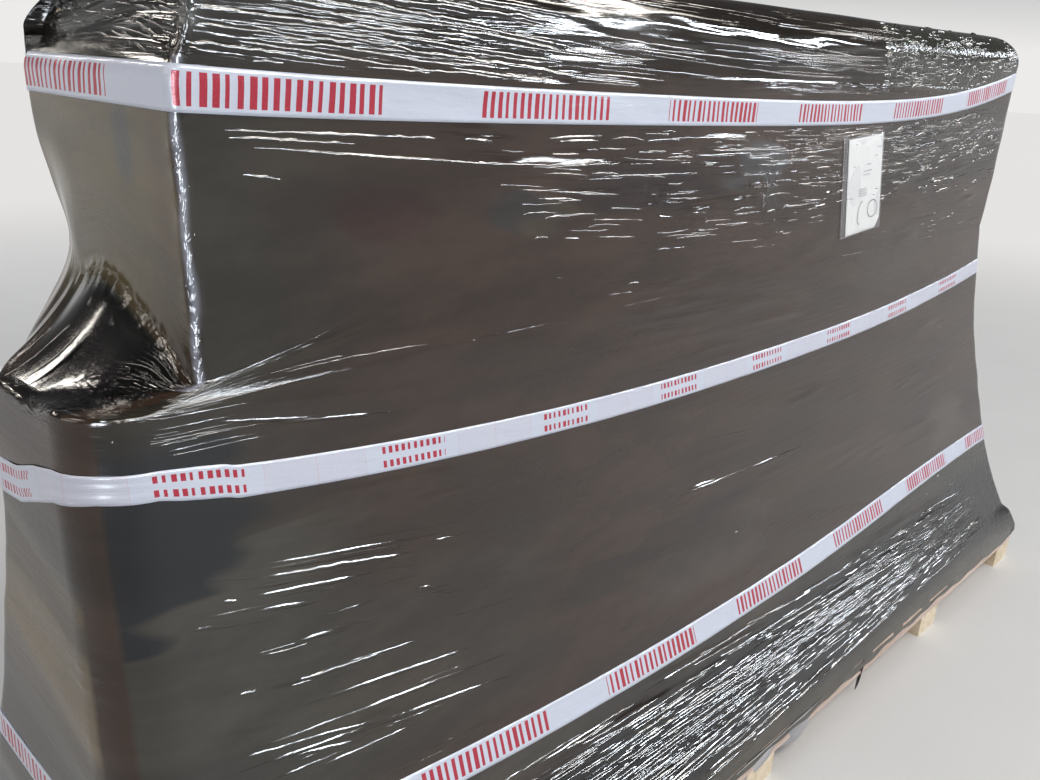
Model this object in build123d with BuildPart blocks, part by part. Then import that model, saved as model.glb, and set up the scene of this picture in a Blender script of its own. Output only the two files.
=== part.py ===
"""A long pallet load under a black stretch film hood, bound with three runs of tape.

Millimetres. +X runs along the load to its far end, -Y is the front, +Z is up.
The origin is on the floor under the middle of the pallet.
"""

import os
from collections import namedtuple
from math import atan2, cos, hypot, radians, sin, sqrt

from build123d import *

os.makedirs("parts", exist_ok=True)

# Pallet
pallet_length = 2800
pallet_depth = 860
block_length = 110
block_depth = 100
block_height = 60
bearer_width = 100
bearer_thickness = 20
deck_board_width = 120
deck_board_thickness = 20
deck_board_count = 16
deck_corner_radius = 15
inner_block_shares = (0.236, 0.45, 0.771)

# Lower tier of packed goods. Only the front part of it reaches the near end.
near_end_margin = 10
far_end_margin = 266
near_end_depth = 240
lower_tier_depth = 458
lower_tier_height = 980

# Middle tier, set back at the near end so that the lower one sticks out
middle_tier_setback = 139
middle_tier_height = 270

# Upper tier, overhanging the middle one at the far end
upper_tier_overhang = 111
upper_tier_depth = 408
upper_tier_height = 232
shoulder_radius = 70
near_corner_radius = 12
far_corner_radius = 30

# Film hood
film_thickness = 3
seat_clearance = 0.3
hem_lift = 2
roof_rise = 88
roof_hollow_power = 0.55
roof_levels = 3
skirt_levels = 8
skirt_front_power = 2.5
skirt_far_power = 0.85
skirt_spacing_power = 1.6
shoulder_levels = 4

# Tape bands, as centre lines of (share of the pallet's length, rise over the band's base)
tape_width = 48
tape_thickness = 0.8
top_tape_line = [(0.051, 68), (0.304, 48), (0.571, 40), (0.816, 70), (0.935, 121)]
middle_tape_line = [
    (0.035, -88),
    (0.118, -127),
    (0.235, -152),
    (0.54, -182),
    (0.768, -158),
    (0.911, -118),
]
bottom_tape_line = [(0.018, 373), (0.16, 331), (0.293, 303), (0.536, 291), (0.745, 307), (0.973, 326)]

# Document pouch and the sheet in it
pouch_share = 0.623
pouch_rise = 156
pouch_turn = 4
pouch_width = 195
pouch_height = 216
pouch_thickness = 1
sheet_offset = 10
sheet_width = 165
sheet_height = 208
sheet_thickness = 0.5
sheet_corner_cut = 22

# Heights that follow from the sizes above
bearer_base = block_height
deck_base = bearer_base + bearer_thickness
deck_top = deck_base + deck_board_thickness
lower_tier_top = deck_top + lower_tier_height
upper_tier_base = lower_tier_top + middle_tier_height
shoulder_base = upper_tier_base + upper_tier_height - shoulder_radius

# Places that follow from the sizes above
lower_tier_left = near_end_margin - pallet_length / 2
lower_tier_right = pallet_length / 2 - far_end_margin
upper_tier_left = lower_tier_left + middle_tier_setback
upper_tier_right = lower_tier_right + upper_tier_overhang


def along(share):
    """The place along the pallet at a share of its length from the near end."""
    return (share - 0.5) * pallet_length


def row_places():
    """The front-to-back places of the blocks and bearers, with the row's name."""
    outer = (pallet_depth - bearer_width) / 2
    return {"front": -outer, "middle": 0, "rear": outer}


def column_places():
    """The places of the block columns along the pallet."""
    outer = (pallet_length - block_length) / 2
    return [-outer, *(along(share) for share in inner_block_shares), outer]


# Foot blocks
for row, block_y in row_places().items():
    for column, block_x in enumerate(column_places(), start=1):
        block_name = f"foot_block_{row}_{column}"
        with BuildPart() as foot_block:
            with BuildSketch():
                with Locations((block_x, block_y)):
                    Rectangle(block_length, block_depth)
            extrude(amount=block_height)
        foot_block.part.label = block_name
        export_step(foot_block.part, f"parts/{block_name}.step")

# Bearer boards along the pallet
for row, bearer_y in row_places().items():
    bearer_name = f"bearer_{row}"
    with BuildPart() as bearer:
        with BuildSketch(Plane.XY.offset(bearer_base)):
            with Locations((0, bearer_y)):
                Rectangle(pallet_length, bearer_width)
        extrude(amount=bearer_thickness)
    bearer.part.label = bearer_name
    export_step(bearer.part, f"parts/{bearer_name}.step")

# Deck boards across the bearers, the outermost two with rounded outer corners
deck_board_pitch = (pallet_length - deck_board_width) / (deck_board_count - 1)
for number in range(deck_board_count):
    board_x = (deck_board_width - pallet_length) / 2 + number * deck_board_pitch
    board_name = f"deck_board_{number + 1:02d}"
    with BuildPart() as deck_board:
        with BuildSketch(Plane.XY.offset(deck_base)) as board_outline:
            with Locations((board_x, 0)):
                Rectangle(deck_board_width, pallet_depth)
            if number == 0:
                fillet(board_outline.vertices().group_by(Axis.X)[0], deck_corner_radius)
            if number == deck_board_count - 1:
                fillet(board_outline.vertices().group_by(Axis.X)[-1], deck_corner_radius)
        extrude(amount=deck_board_thickness)
    deck_board.part.label = board_name
    export_step(deck_board.part, f"parts/{board_name}.step")


def tier_outline(height, left, right, depth, inset=0):
    """A tier's outline at a height, with small near corners and large far ones."""
    with BuildSketch(Plane.XY.offset(height), mode=Mode.PRIVATE) as outline:
        with Locations(((left + right) / 2, 0)):
            Rectangle(right - left - 2 * inset, depth - 2 * inset)
        fillet(outline.vertices().group_by(Axis.X)[0], near_corner_radius)
        fillet(outline.vertices().group_by(Axis.X)[-1], far_corner_radius)
    return outline.sketch


def shoulder_angles():
    """The angles at which the rounded shoulder is sectioned, from upright to flat."""
    return [radians(90 * step / shoulder_levels) for step in range(shoulder_levels + 1)]


# Lower tier, notched behind the part that sticks out at the near end
with BuildPart() as lower_tier:
    with BuildSketch(Plane.XY.offset(deck_top)) as lower_outline:
        add(tier_outline(deck_top, lower_tier_left, lower_tier_right, lower_tier_depth))
        with Locations((lower_tier_left, near_end_depth - lower_tier_depth / 2)):
            Rectangle(
                middle_tier_setback,
                lower_tier_depth - near_end_depth,
                align=(Align.MIN, Align.MIN),
                mode=Mode.SUBTRACT,
            )
        rear_corners = lower_outline.vertices().group_by(Axis.Y)[-1]
        fillet(rear_corners.sort_by(Axis.X)[0], near_corner_radius)
        notch_corner = lower_outline.vertices().group_by(Axis.X)[0].sort_by(Axis.Y)[-1]
        fillet(notch_corner, near_corner_radius)
    extrude(amount=lower_tier_height)
lower_tier.part.label = "lower_tier"
export_step(lower_tier.part, "parts/lower_tier.step")

# Middle tier
with BuildPart() as middle_tier:
    middle_outline = tier_outline(
        lower_tier_top, upper_tier_left, lower_tier_right, upper_tier_depth
    )
    extrude(middle_outline, amount=middle_tier_height)
middle_tier.part.label = "middle_tier"
export_step(middle_tier.part, "parts/middle_tier.step")

# Upper tier, with rounded shoulders
with BuildPart() as upper_tier:
    upper_sections = [
        tier_outline(upper_tier_base, upper_tier_left, upper_tier_right, upper_tier_depth)
    ]
    for angle in shoulder_angles():
        upper_sections.append(
            tier_outline(
                shoulder_base + shoulder_radius * sin(angle),
                upper_tier_left,
                upper_tier_right,
                upper_tier_depth,
                shoulder_radius * (1 - cos(angle)),
            )
        )
    loft(upper_sections, ruled=True)
upper_tier.part.label = "upper_tier"
export_step(upper_tier.part, "parts/upper_tier.step")

# One level of the surface that the hood lies on. Its near rear corner is cut by two lengths
# and its other corners are round. Growing it by a distance moves a level's outline outwards by
# reach times that distance, and upwards by lift times it.
Level = namedtuple(
    "Level", "height left right half_depth near_radius far_radius cut_length cut_depth reach lift"
)


def between(start, end, share):
    """The value at a share of the way from start to end."""
    return start + (end - start) * share


def corner_cut(radius):
    """The cut that just touches a rounded corner."""
    return radius * (2 - sqrt(2))


def skirt_level(share_down):
    """The tented skirt, from the lower tier's top edge, at 0, to the deck's edge, at 1."""
    deck_cut = corner_cut(deck_corner_radius)
    return Level(
        height=between(lower_tier_top, deck_top, share_down),
        left=between(lower_tier_left, -pallet_length / 2, share_down),
        right=between(lower_tier_right, pallet_length / 2, share_down**skirt_far_power),
        half_depth=between(
            lower_tier_depth / 2, pallet_depth / 2, share_down**skirt_front_power
        ),
        near_radius=between(near_corner_radius, deck_corner_radius, share_down),
        far_radius=between(far_corner_radius, deck_corner_radius, share_down),
        cut_length=between(middle_tier_setback, deck_cut, share_down),
        cut_depth=between(lower_tier_depth - near_end_depth, deck_cut, share_down),
        reach=1,
        lift=1 if share_down == 0 else 0,
    )


def front_half_depth(height):
    """Half the hood's depth where its front leans back, from the lower tier to the upper."""
    share_up = (height - lower_tier_top) / middle_tier_height
    return between(lower_tier_depth, upper_tier_depth, share_up) / 2


def roof_level(share_up):
    """The hollow roof over the step at the near end, from the step, at 0, to its top, at 1."""
    height = lower_tier_top + share_up * roof_rise
    share_in = share_up**roof_hollow_power
    tier_cut = corner_cut(near_corner_radius)
    return Level(
        height=height,
        left=between(lower_tier_left, upper_tier_left, share_in),
        right=between(
            lower_tier_right, upper_tier_right, share_up * roof_rise / middle_tier_height
        ),
        half_depth=front_half_depth(height),
        near_radius=near_corner_radius,
        far_radius=far_corner_radius,
        cut_length=between(middle_tier_setback, tier_cut, share_in),
        cut_depth=between(lower_tier_depth - near_end_depth, tier_cut, share_in),
        reach=1,
        lift=1,
    )


def hood_levels():
    """The hood's levels from its hem to its crown."""
    levels = [skirt_level(1)._replace(height=deck_base + hem_lift)]
    for step in range(skirt_levels + 1):
        levels.append(skirt_level(1 - (step / skirt_levels) ** skirt_spacing_power))
    for step in range(1, roof_levels + 1):
        levels.append(roof_level(step / roof_levels))

    # The foot of the overhang at the far end, then the rounded shoulder
    upper = roof_level(1)._replace(
        height=upper_tier_base, right=upper_tier_right, half_depth=upper_tier_depth / 2, lift=0
    )
    levels.append(upper)
    for angle in shoulder_angles():
        drawn_in = shoulder_radius * (1 - cos(angle))
        levels.append(
            upper._replace(
                height=shoulder_base + shoulder_radius * sin(angle),
                left=upper.left + drawn_in,
                right=upper.right - drawn_in,
                half_depth=upper.half_depth - drawn_in,
                reach=cos(angle),
                lift=sin(angle),
            )
        )
    return levels


def grown_cut(length, other, growth):
    """A corner cut's length on one side when the outline and the cut both grow outwards."""
    return length + growth * (1 + (length - hypot(length, other)) / other)


def hood_outline(level, growth):
    """The hood's outline at a level, grown outwards by a distance."""
    reach = growth * level.reach
    left = level.left - reach
    right = level.right + reach
    depth = level.half_depth + reach
    cut_length = grown_cut(level.cut_length, level.cut_depth, reach)
    cut_depth = grown_cut(level.cut_depth, level.cut_length, reach)
    with BuildSketch(
        Plane.XY.offset(level.height + growth * level.lift), mode=Mode.PRIVATE
    ) as outline:
        with BuildLine():
            Polyline(
                (left, -depth),
                (right, -depth),
                (right, depth),
                (left + cut_length, depth),
                (left, depth - cut_depth),
                close=True,
            )
        make_face()
        near_front = outline.vertices().group_by(Axis.Y)[0].sort_by(Axis.X)[0]
        fillet(near_front, level.near_radius + reach)
        fillet(outline.vertices().group_by(Axis.X)[-1], level.far_radius + reach)
    return outline.sketch


def hood_body(growth, hem_overrun=0):
    """The solid inside the hood's surface, grown outwards by a distance."""
    levels = hood_levels()
    levels[0] = levels[0]._replace(height=levels[0].height - hem_overrun)
    return loft([hood_outline(level, growth) for level in levels], ruled=True)


# How far each layer of the wrapping is grown from the load
film_inside = seat_clearance
film_outside = film_inside + film_thickness
tape_inside = film_outside + seat_clearance
tape_outside = tape_inside + tape_thickness
film_body = hood_body(film_outside)
film_hollow = hood_body(film_inside, hem_overrun=film_thickness)

# Stretch film hood, open at its hem
with BuildPart() as stretch_film:
    add(film_body)
    add(film_hollow, mode=Mode.SUBTRACT)
stretch_film.part.label = "stretch_film"
export_step(stretch_film.part, "parts/stretch_film.step")


def tape_ribbon(line, base):
    """The tape's shape seen from the front, run out level past both ends of the load."""
    half_width = tape_width / 2
    overrun = pallet_length
    upper_edge = [(along(share), base + rise + half_width) for share, rise in line]
    lower_edge = [(along(share), base + rise - half_width) for share, rise in reversed(line)]
    with BuildSketch(Plane.XZ, mode=Mode.PRIVATE) as ribbon:
        with BuildLine():
            near_top = (-overrun, upper_edge[0][1])
            near_bottom = (-overrun, lower_edge[-1][1])
            far_top = (overrun, upper_edge[-1][1])
            far_bottom = (overrun, lower_edge[0][1])
            Spline(*upper_edge)
            Line(upper_edge[-1], far_top)
            Line(far_top, far_bottom)
            Line(far_bottom, lower_edge[0])
            Spline(*lower_edge)
            Line(lower_edge[-1], near_bottom)
            Line(near_bottom, near_top)
            Line(near_top, upper_edge[0])
        make_face()
    return ribbon.sketch


# Tape bands round the film
tape_outer_body = hood_body(tape_outside)
tape_inner_body = hood_body(tape_inside, hem_overrun=film_thickness)
for tape_name, tape_line, tape_base in (
    ("tape_band_top", top_tape_line, upper_tier_base),
    ("tape_band_middle", middle_tape_line, lower_tier_top),
    ("tape_band_bottom", bottom_tape_line, deck_top),
):
    with BuildPart() as tape_band:
        add(tape_outer_body)
        add(tape_inner_body, mode=Mode.SUBTRACT)
        ribbon = tape_ribbon(tape_line, tape_base)
        extrude(ribbon, amount=pallet_depth, both=True, mode=Mode.INTERSECT)
    tape_band.part.label = tape_name
    export_step(tape_band.part, f"parts/{tape_name}.step")


def pouch_plane(growth):
    """The plane of the pouch on the hood's leaning front, grown outwards by a distance."""
    height = lower_tier_top + pouch_rise
    lean = atan2((lower_tier_depth - upper_tier_depth) / 2, middle_tier_height)
    turn = radians(pouch_turn)
    return Plane(
        origin=(along(pouch_share), -front_half_depth(height) - growth, height),
        x_dir=(cos(turn), sin(turn) * sin(lean), sin(turn) * cos(lean)),
        z_dir=(0, -cos(lean), sin(lean)),
    )


# Document pouch, clear of the hood where its roof level bulges by a hair
pouch_seat = film_outside + 2 * seat_clearance
with BuildPart() as document_pouch:
    with BuildSketch(pouch_plane(pouch_seat)):
        Rectangle(pouch_width, pouch_height)
    extrude(amount=pouch_thickness)
document_pouch.part.label = "document_pouch"
export_step(document_pouch.part, "parts/document_pouch.step")

# Delivery sheet, with one corner cut off
sheet_seat = pouch_seat + pouch_thickness + seat_clearance
with BuildPart() as delivery_sheet:
    with BuildSketch(pouch_plane(sheet_seat)) as sheet_outline:
        with Locations((sheet_offset, 0)):
            Rectangle(sheet_width, sheet_height)
        torn_corner = sheet_outline.vertices().group_by(Axis.Z)[0].sort_by(Axis.X)[-1]
        chamfer(torn_corner, sheet_corner_cut)
    extrude(amount=sheet_thickness)
delivery_sheet.part.label = "delivery_sheet"
export_step(delivery_sheet.part, "parts/delivery_sheet.step")
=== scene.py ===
from functools import partial
from itertools import product
from math import cos, pi, radians, sin

import bpy
import numpy as np
from mathutils import Matrix


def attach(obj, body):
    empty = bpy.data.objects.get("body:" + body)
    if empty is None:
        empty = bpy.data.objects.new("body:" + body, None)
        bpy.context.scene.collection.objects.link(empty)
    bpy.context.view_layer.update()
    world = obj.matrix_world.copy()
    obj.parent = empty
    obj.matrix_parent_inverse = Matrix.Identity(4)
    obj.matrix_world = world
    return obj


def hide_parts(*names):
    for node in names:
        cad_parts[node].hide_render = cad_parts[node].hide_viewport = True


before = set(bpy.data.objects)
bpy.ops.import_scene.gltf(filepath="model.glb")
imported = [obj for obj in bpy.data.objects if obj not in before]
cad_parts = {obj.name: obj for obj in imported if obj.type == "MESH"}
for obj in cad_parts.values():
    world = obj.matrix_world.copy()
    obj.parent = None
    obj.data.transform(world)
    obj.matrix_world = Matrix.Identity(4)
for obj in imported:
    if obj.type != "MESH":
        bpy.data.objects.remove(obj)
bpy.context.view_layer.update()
scene = bpy.context.scene
scene.view_settings.view_transform = "Standard"
rng = np.random.default_rng(20)

# Camera
camera_data = bpy.data.cameras.new("camera")
camera_data.lens = 32.43
camera_data.sensor_width = 36
camera_data.clip_end = 200
camera = bpy.data.objects.new("camera", camera_data)
scene.collection.objects.link(camera)
camera.matrix_world = Matrix(
    (
        (0.7024, 0.2038, -0.6820, -1.718),
        (-0.7102, 0.2646, -0.6524, -1.165),
        (0.0475, 0.9426, 0.3306, 1.460),
        (0, 0, 0, 1),
    )
)
scene.camera = camera


# Node helpers
def add_node(tree, kind, inputs=None, **settings):
    """Adds a shader node. Its inputs are sockets to link from, or constants."""
    node = tree.nodes.new("ShaderNode" + kind)
    for name, value in settings.items():
        setattr(node, name, value)
    for name, value in (inputs or {}).items():
        if isinstance(value, bpy.types.NodeSocket):
            tree.links.new(value, node.inputs[name])
        else:
            node.inputs[name].default_value = value
    return node


def math_node(tree, operation, first, second=0.0, third=0.0):
    """The output of a math node."""
    inputs = {0: first, 1: second, 2: third}
    return add_node(tree, "Math", inputs, operation=operation).outputs[0]


def mix_colors(tree, share, first, second, mode="MIX"):
    """The output of a colour mix."""
    inputs = {0: share, 6: first, 7: second}
    node = add_node(tree, "Mix", inputs, data_type="RGBA", blend_type=mode)
    return node.outputs[2]


def ramp(tree, value, start, end, low=0.0, high=1.0):
    """A value taken smoothly from one range to another."""
    inputs = {"Value": value, "From Min": start, "From Max": end, "To Min": low, "To Max": high}
    node = add_node(tree, "MapRange", inputs, interpolation_type="SMOOTHSTEP")
    return node.outputs[0]


def noise(tree, vector, scale, detail, roughness=0.5, distortion=0.0):
    """A noise value on a vector."""
    inputs = {"Vector": vector, "Scale": scale, "Detail": detail}
    inputs |= {"Roughness": roughness, "Distortion": distortion}
    return add_node(tree, "TexNoise", inputs).outputs[0]


def stretched(tree, vector, scale, offset=(0, 0, 0)):
    """A vector scaled by different amounts along its axes."""
    inputs = {"Vector": vector, "Scale": scale, "Location": offset}
    return add_node(tree, "Mapping", inputs).outputs[0]


def on_surface(tree):
    """The place on a piece's surface from its UVs, in metres."""
    return add_node(tree, "UVMap", uv_map="surface").outputs[0]


def attribute(tree, name, output="Fac"):
    """A mesh attribute's value."""
    return add_node(tree, "Attribute", attribute_name=name).outputs[output]


def new_material(name):
    """An empty material and its tree."""
    material = bpy.data.materials.new(name)
    material.use_nodes = True
    material.node_tree.nodes.clear()
    return material, material.node_tree


def principled(tree, **inputs):
    """Links a Principled shader with these inputs to the material's output."""
    renamed = {name.replace("_", " "): value for name, value in inputs.items()}
    shader = add_node(tree, "BsdfPrincipled", renamed)
    add_node(tree, "OutputMaterial", {"Surface": shader.outputs[0]})


def bumped(tree, height, distance, normal=None, strength=1.0):
    """The normal of a bump of a height in metres."""
    inputs = {"Height": height, "Distance": distance, "Strength": strength}
    if normal is not None:
        inputs["Normal"] = normal
    return add_node(tree, "Bump", inputs).outputs[0]


# Studio: pale floor, pale horizon that darkens overhead, and soft boxes
def make_world():
    """The pale backdrop that the camera and reflections show, and a dimmer fill light."""
    world = bpy.data.worlds.new("studio")
    world.use_nodes = True
    scene.world = world
    tree = world.node_tree
    tree.nodes.clear()
    direction = add_node(tree, "TexCoord").outputs["Generated"]
    height = add_node(tree, "SeparateXYZ", {0: direction}).outputs["Z"]
    shade = add_node(tree, "ValToRGB", {"Fac": height})
    stops = shade.color_ramp.elements
    stops[0].position, stops[0].color = 0.03, (0.84, 0.83, 0.82, 1)
    stops[1].position, stops[1].color = 0.9, (0.04, 0.04, 0.045, 1)
    for position, value in ((0.075, 0.62), (0.13, 0.22), (0.3, 0.085)):
        stops.new(position).color = (value, value, value, 1)
    path = add_node(tree, "LightPath").outputs
    seen = math_node(tree, "ADD", path["Is Camera Ray"], path["Is Glossy Ray"])
    seen = math_node(tree, "ADD", seen, path["Is Transmission Ray"])
    fill = add_node(tree, "Background", {"Color": (0.42, 0.43, 0.45, 1)})
    backdrop = add_node(tree, "Background", {"Color": shade.outputs[0]})
    both = {0: seen, 1: fill.outputs[0], 2: backdrop.outputs[0]}
    mixed = add_node(tree, "MixShader", both)
    add_node(tree, "OutputWorld", {"Surface": mixed.outputs[0]})


def soft_box(name, place, target, width, height, radiance, color, gloss_only):
    """An area light at a place, turned to a target, of an even radiance."""
    data = bpy.data.lights.new(name, "AREA")
    data.shape = "RECTANGLE"
    data.size = width
    data.size_y = height
    data.energy = radiance * pi * width * height
    data.color = color
    light = bpy.data.objects.new(name, data)
    scene.collection.objects.link(light)
    light.visible_diffuse = not gloss_only
    light.visible_camera = False
    ahead = np.subtract(target, place)
    back = -ahead / np.linalg.norm(ahead)
    side = np.cross((0, 0, 1), back)
    side /= np.linalg.norm(side)
    axes = np.stack([side, np.cross(back, side), back, np.array(place, float)], axis=1)
    light.matrix_world = Matrix([*axes.tolist(), [0, 0, 0, 1]])


make_world()
warm, cool = (1.0, 0.94, 0.86), (0.86, 0.93, 1.0)
# Each lamp has its name, place, target, width, height, radiance and colour
boxes = (
    ("box_right", (5.5, -3.5, 5.4), (0.6, 0, 1.0), 2.6, 1.0, 8, warm),
    ("box_front", (0.8, -5.5, 3.6), (-0.3, 0, 1.0), 3.4, 1.0, 8, cool),
    ("box_top", (-0.6, -3.0, 5.4), (-0.6, 0, 1.2), 3.2, 1.2, 7, warm),
    ("box_left", (-6.0, 1.5, 3.4), (-1.3, 0, 1.2), 2.4, 1.0, 6, warm),
    ("box_rear", (2.4, 6.0, 3.8), (0, 0, 1.0), 2.6, 1.0, 7, cool),
)
# Long tubes that only show as highlights in the film
tubes = (
    ("tube_near", (0.6, -3.0, 4.6), (0.6, 0, 1.0), 8.2, 0.22, 95, warm),
    ("tube_middle", (6.35, -3.0, 4.6), (6.35, 0, 1.0), 3.3, 0.22, 45, warm),
    ("tube_end_part", (9.75, -3.0, 4.6), (9.75, 0, 1.0), 3.5, 0.22, 42, warm),
    ("tube_far", (5.0, -6.0, 4.4), (5.0, 0, 1.0), 15, 0.3, 150, cool),
    ("tube_low", (5.0, -6.0, 4.9), (5.0, 0, 0.3), 15, 0.3, 150, cool),
    ("tube_end", (9.0, -1.2, 3.2), (1.2, 0, 1.2), 1.6, 0.4, 20, cool),
    ("tube_corner", (-2.5, -1.05, 1.32), (-1.25, -0.2, 1.32), 0.5, 1.1, 30, cool),
    ("tube_step", (-4.5, 0.6, 4.2), (-1.3, 0, 1.2), 2.0, 0.12, 60, warm),
    ("tube_back", (-2.3, 3.2, 2.9), (-1.25, 0, 1.5), 1.8, 0.08, 60, warm),
)
for lamp in boxes:
    soft_box(*lamp, gloss_only=False)
for lamp in tubes:
    soft_box(*lamp, gloss_only=True)


def make_floor():
    """The pale floor, which turns into the backdrop's colour far away."""
    size = 60
    mesh = bpy.data.meshes.new("floor")
    corners = [(x * size, y * size, 0) for x, y in ((-1, -1), (1, -1), (1, 1), (-1, 1))]
    mesh.from_pydata(corners, [], [(0, 1, 2, 3)])
    floor = bpy.data.objects.new("floor", mesh)
    scene.collection.objects.link(floor)
    material, tree = new_material("floor")
    place = add_node(tree, "TexCoord").outputs["Object"]
    grain = noise(tree, place, 3.0, 5)
    color = mix_colors(tree, grain, (0.68, 0.67, 0.655, 1), (0.74, 0.73, 0.715, 1))
    near_inputs = {"Base Color": color, "Roughness": 0.75}
    near_look = add_node(tree, "BsdfPrincipled", near_inputs)
    far_look = add_node(tree, "Emission", {"Color": (0.78, 0.77, 0.76, 1)})
    length = add_node(tree, "VectorMath", {0: place}, operation="LENGTH")
    far_share = ramp(tree, length.outputs["Value"], 2.5, 9.0)
    path = add_node(tree, "LightPath").outputs
    seen = math_node(tree, "ADD", path["Is Camera Ray"], path["Is Glossy Ray"])
    far_share = math_node(tree, "MULTIPLY", far_share, math_node(tree, "MINIMUM", seen, 1.0))
    both = {0: far_share, 1: near_look.outputs[0], 2: far_look.outputs[0]}
    look = add_node(tree, "MixShader", both)
    add_node(tree, "OutputMaterial", {"Surface": look.outputs[0]})
    mesh.materials.append(material)


make_floor()


# Mesh helper
def add_piece(name, points, faces, material, node_names, uvs=None, values=None):
    """A smooth piece of four sided faces that rides on the load, with UVs and values by point."""
    points = np.asarray(points, np.float32).reshape(-1, 3)
    corners = np.asarray(faces, np.int32).ravel()
    mesh = bpy.data.meshes.new(name)
    mesh.vertices.add(len(points))
    mesh.vertices.foreach_set("co", points.ravel())
    mesh.loops.add(len(corners))
    mesh.loops.foreach_set("vertex_index", corners)
    mesh.polygons.add(len(corners) // 4)
    mesh.polygons.foreach_set("loop_start", np.arange(0, len(corners), 4, dtype=np.int32))
    mesh.polygons.foreach_set("use_smooth", np.ones(len(corners) // 4, bool))
    mesh.update(calc_edges=True)
    if uvs is not None:
        layer = mesh.uv_layers.new(name="surface")
        layer.data.foreach_set("uv", np.asarray(uvs, np.float32).reshape(-1, 2)[corners].ravel())
    for label, data in (values or {}).items():
        data = np.asarray(data, np.float32)
        if data.ndim == 1:
            mesh.attributes.new(label, "FLOAT", "POINT").data.foreach_set("value", data)
        else:
            color = np.concatenate([data, np.ones((len(data), 1), np.float32)], axis=1)
            layer = mesh.attributes.new(label, "FLOAT_COLOR", "POINT")
            layer.data.foreach_set("color", color.ravel())
    mesh.materials.append(material)
    piece = bpy.data.objects.new(name, mesh)
    scene.collection.objects.link(piece)
    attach(piece, "root")
    if node_names:
        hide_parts(*node_names)
    return piece


# Sizes of the hood, in metres, as in the model
pallet_left, pallet_right, pallet_half = -1.4, 1.4, 0.43
lower_left, lower_right, lower_half = -1.39, 1.134, 0.229
upper_left, upper_right, upper_half = -1.251, 1.245, 0.204
deck_top, lower_top, upper_base = 0.1, 1.08, 1.35
shoulder_base, shoulder_radius = 1.512, 0.07
hem_height = 0.082
film_growth = 0.0033
roof_power = 0.55


def blend(start, end, share):
    """A value between two others."""
    return start + (end - start) * share


def smooth_step(value, start, end):
    """A smooth rise from 0 to 1 over a range."""
    share = np.clip((value - start) / (end - start), 0, 1)
    return share * share * (3 - 2 * share)


def bell(value, middle, width):
    """A bell curve."""
    return np.exp(-(((value - middle) / width) ** 2))


# Rows of the hood from its hem to its crown. Each has the values of one level.
row_names = (
    "z", "left", "right", "half", "near", "far", "cut_x", "cut_y", "reach", "lift", "roof", "top"
)


def skirt_row(share, z=None):
    """A row of the tented skirt. The near corner is wide and soft halfway down."""
    z = blend(lower_top, deck_top, share) if z is None else z
    softness = 1 - smooth_step(share, 0.72, 1)
    return (
        z,
        blend(lower_left, pallet_left, share),
        blend(lower_right, pallet_right, share**0.85),
        blend(lower_half, pallet_half, share**2.5),
        blend(0.015, 0.07 + 0.015 * min(1, 3 * share), softness),
        blend(0.03, 0.015, share),
        blend(0.139, 0.0088, share),
        blend(0.218, 0.0088, share),
        1, 0, 0, 0,
    )


def front_row(z, roof, near_share):
    """A row of the leaning front between the lower and the upper tier."""
    share = min(1.0, (z - lower_top) / (upper_base - lower_top))
    return (
        z,
        blend(lower_left, upper_left, near_share),
        blend(lower_right, upper_right, share),
        blend(lower_half, upper_half, share),
        blend(0.07, 0.011, near_share), 0.03,
        blend(0.139, 0.007, near_share),
        blend(0.218, 0.007, near_share),
        1, 0, roof, 0,
    )


def shoulder_row(angle, top=0.0):
    """A row of the rounded shoulder, and of the flat crown within it."""
    drawn_in = shoulder_radius * (1 - cos(angle))
    return (
        shoulder_base + shoulder_radius * sin(angle),
        upper_left + drawn_in,
        upper_right - drawn_in,
        upper_half - drawn_in,
        0.011 + 0.5 * drawn_in, 0.03, 0.007, 0.007,
        cos(angle), sin(angle), 1, top,
    )


row_step = 0.003
roof_top = 1.168
hem_count = 6
levels = [skirt_row(1, hem_height + 0.001 * rise) for rise in range(0, 3 * hem_count, 3)]
skirt_count = int((lower_top - deck_top) / row_step)
levels += [skirt_row(1 - step / skirt_count) for step in range(skirt_count)]
roof_count = 46
for step in range(roof_count + 1):
    share = step / roof_count
    levels.append(front_row(blend(lower_top, roof_top, share ** (0.6 / roof_power)), share, share))
lean_count = int((upper_base - roof_top) / row_step)
for step in range(1, lean_count + 1):
    levels.append(front_row(blend(roof_top, upper_base, step / lean_count), 1, 1))
side_count = int((shoulder_base - upper_base) / row_step)
for step in range(1, side_count):
    levels.append(front_row(blend(upper_base, shoulder_base, step / side_count), 1, 1))
shoulder_count = 36
levels += [shoulder_row(pi / 2 * step / shoulder_count) for step in range(shoulder_count + 1)]
crown_count = 26
levels += [shoulder_row(pi / 2, (step + 1) / crown_count) for step in range(crown_count)]
rows = dict(zip(row_names, np.array(levels, float).T[:, :, None]))
row_count = len(levels)

# Columns of the hood round the load: near end, near corner, front, far corner and so on
near_shares = np.linspace(0, 1, 96, endpoint=False)
near_angles = np.linspace(0, 1, 14, endpoint=False)
dense_front = np.linspace(0, 0.085, 46, endpoint=False)
wide_front = np.linspace(0.085, 0.93, 205, endpoint=False)
front_shares = np.concatenate([dense_front, wide_front, np.linspace(0.93, 1, 24, endpoint=False)])
far_angles = np.linspace(0, 1, 14, endpoint=False)
far_shares = np.linspace(0, 1, 34, endpoint=False)
back_angles = np.linspace(0, 1, 8, endpoint=False)
back_shares = np.linspace(0, 1, 60)
sections = (
    near_shares, near_angles, front_shares, far_angles, far_shares, back_angles, back_shares
)
section_ends = np.cumsum([len(section) for section in sections]).tolist()
near_count, front_start, front_end, far_start, _, rear_start, column_count = section_ends

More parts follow.
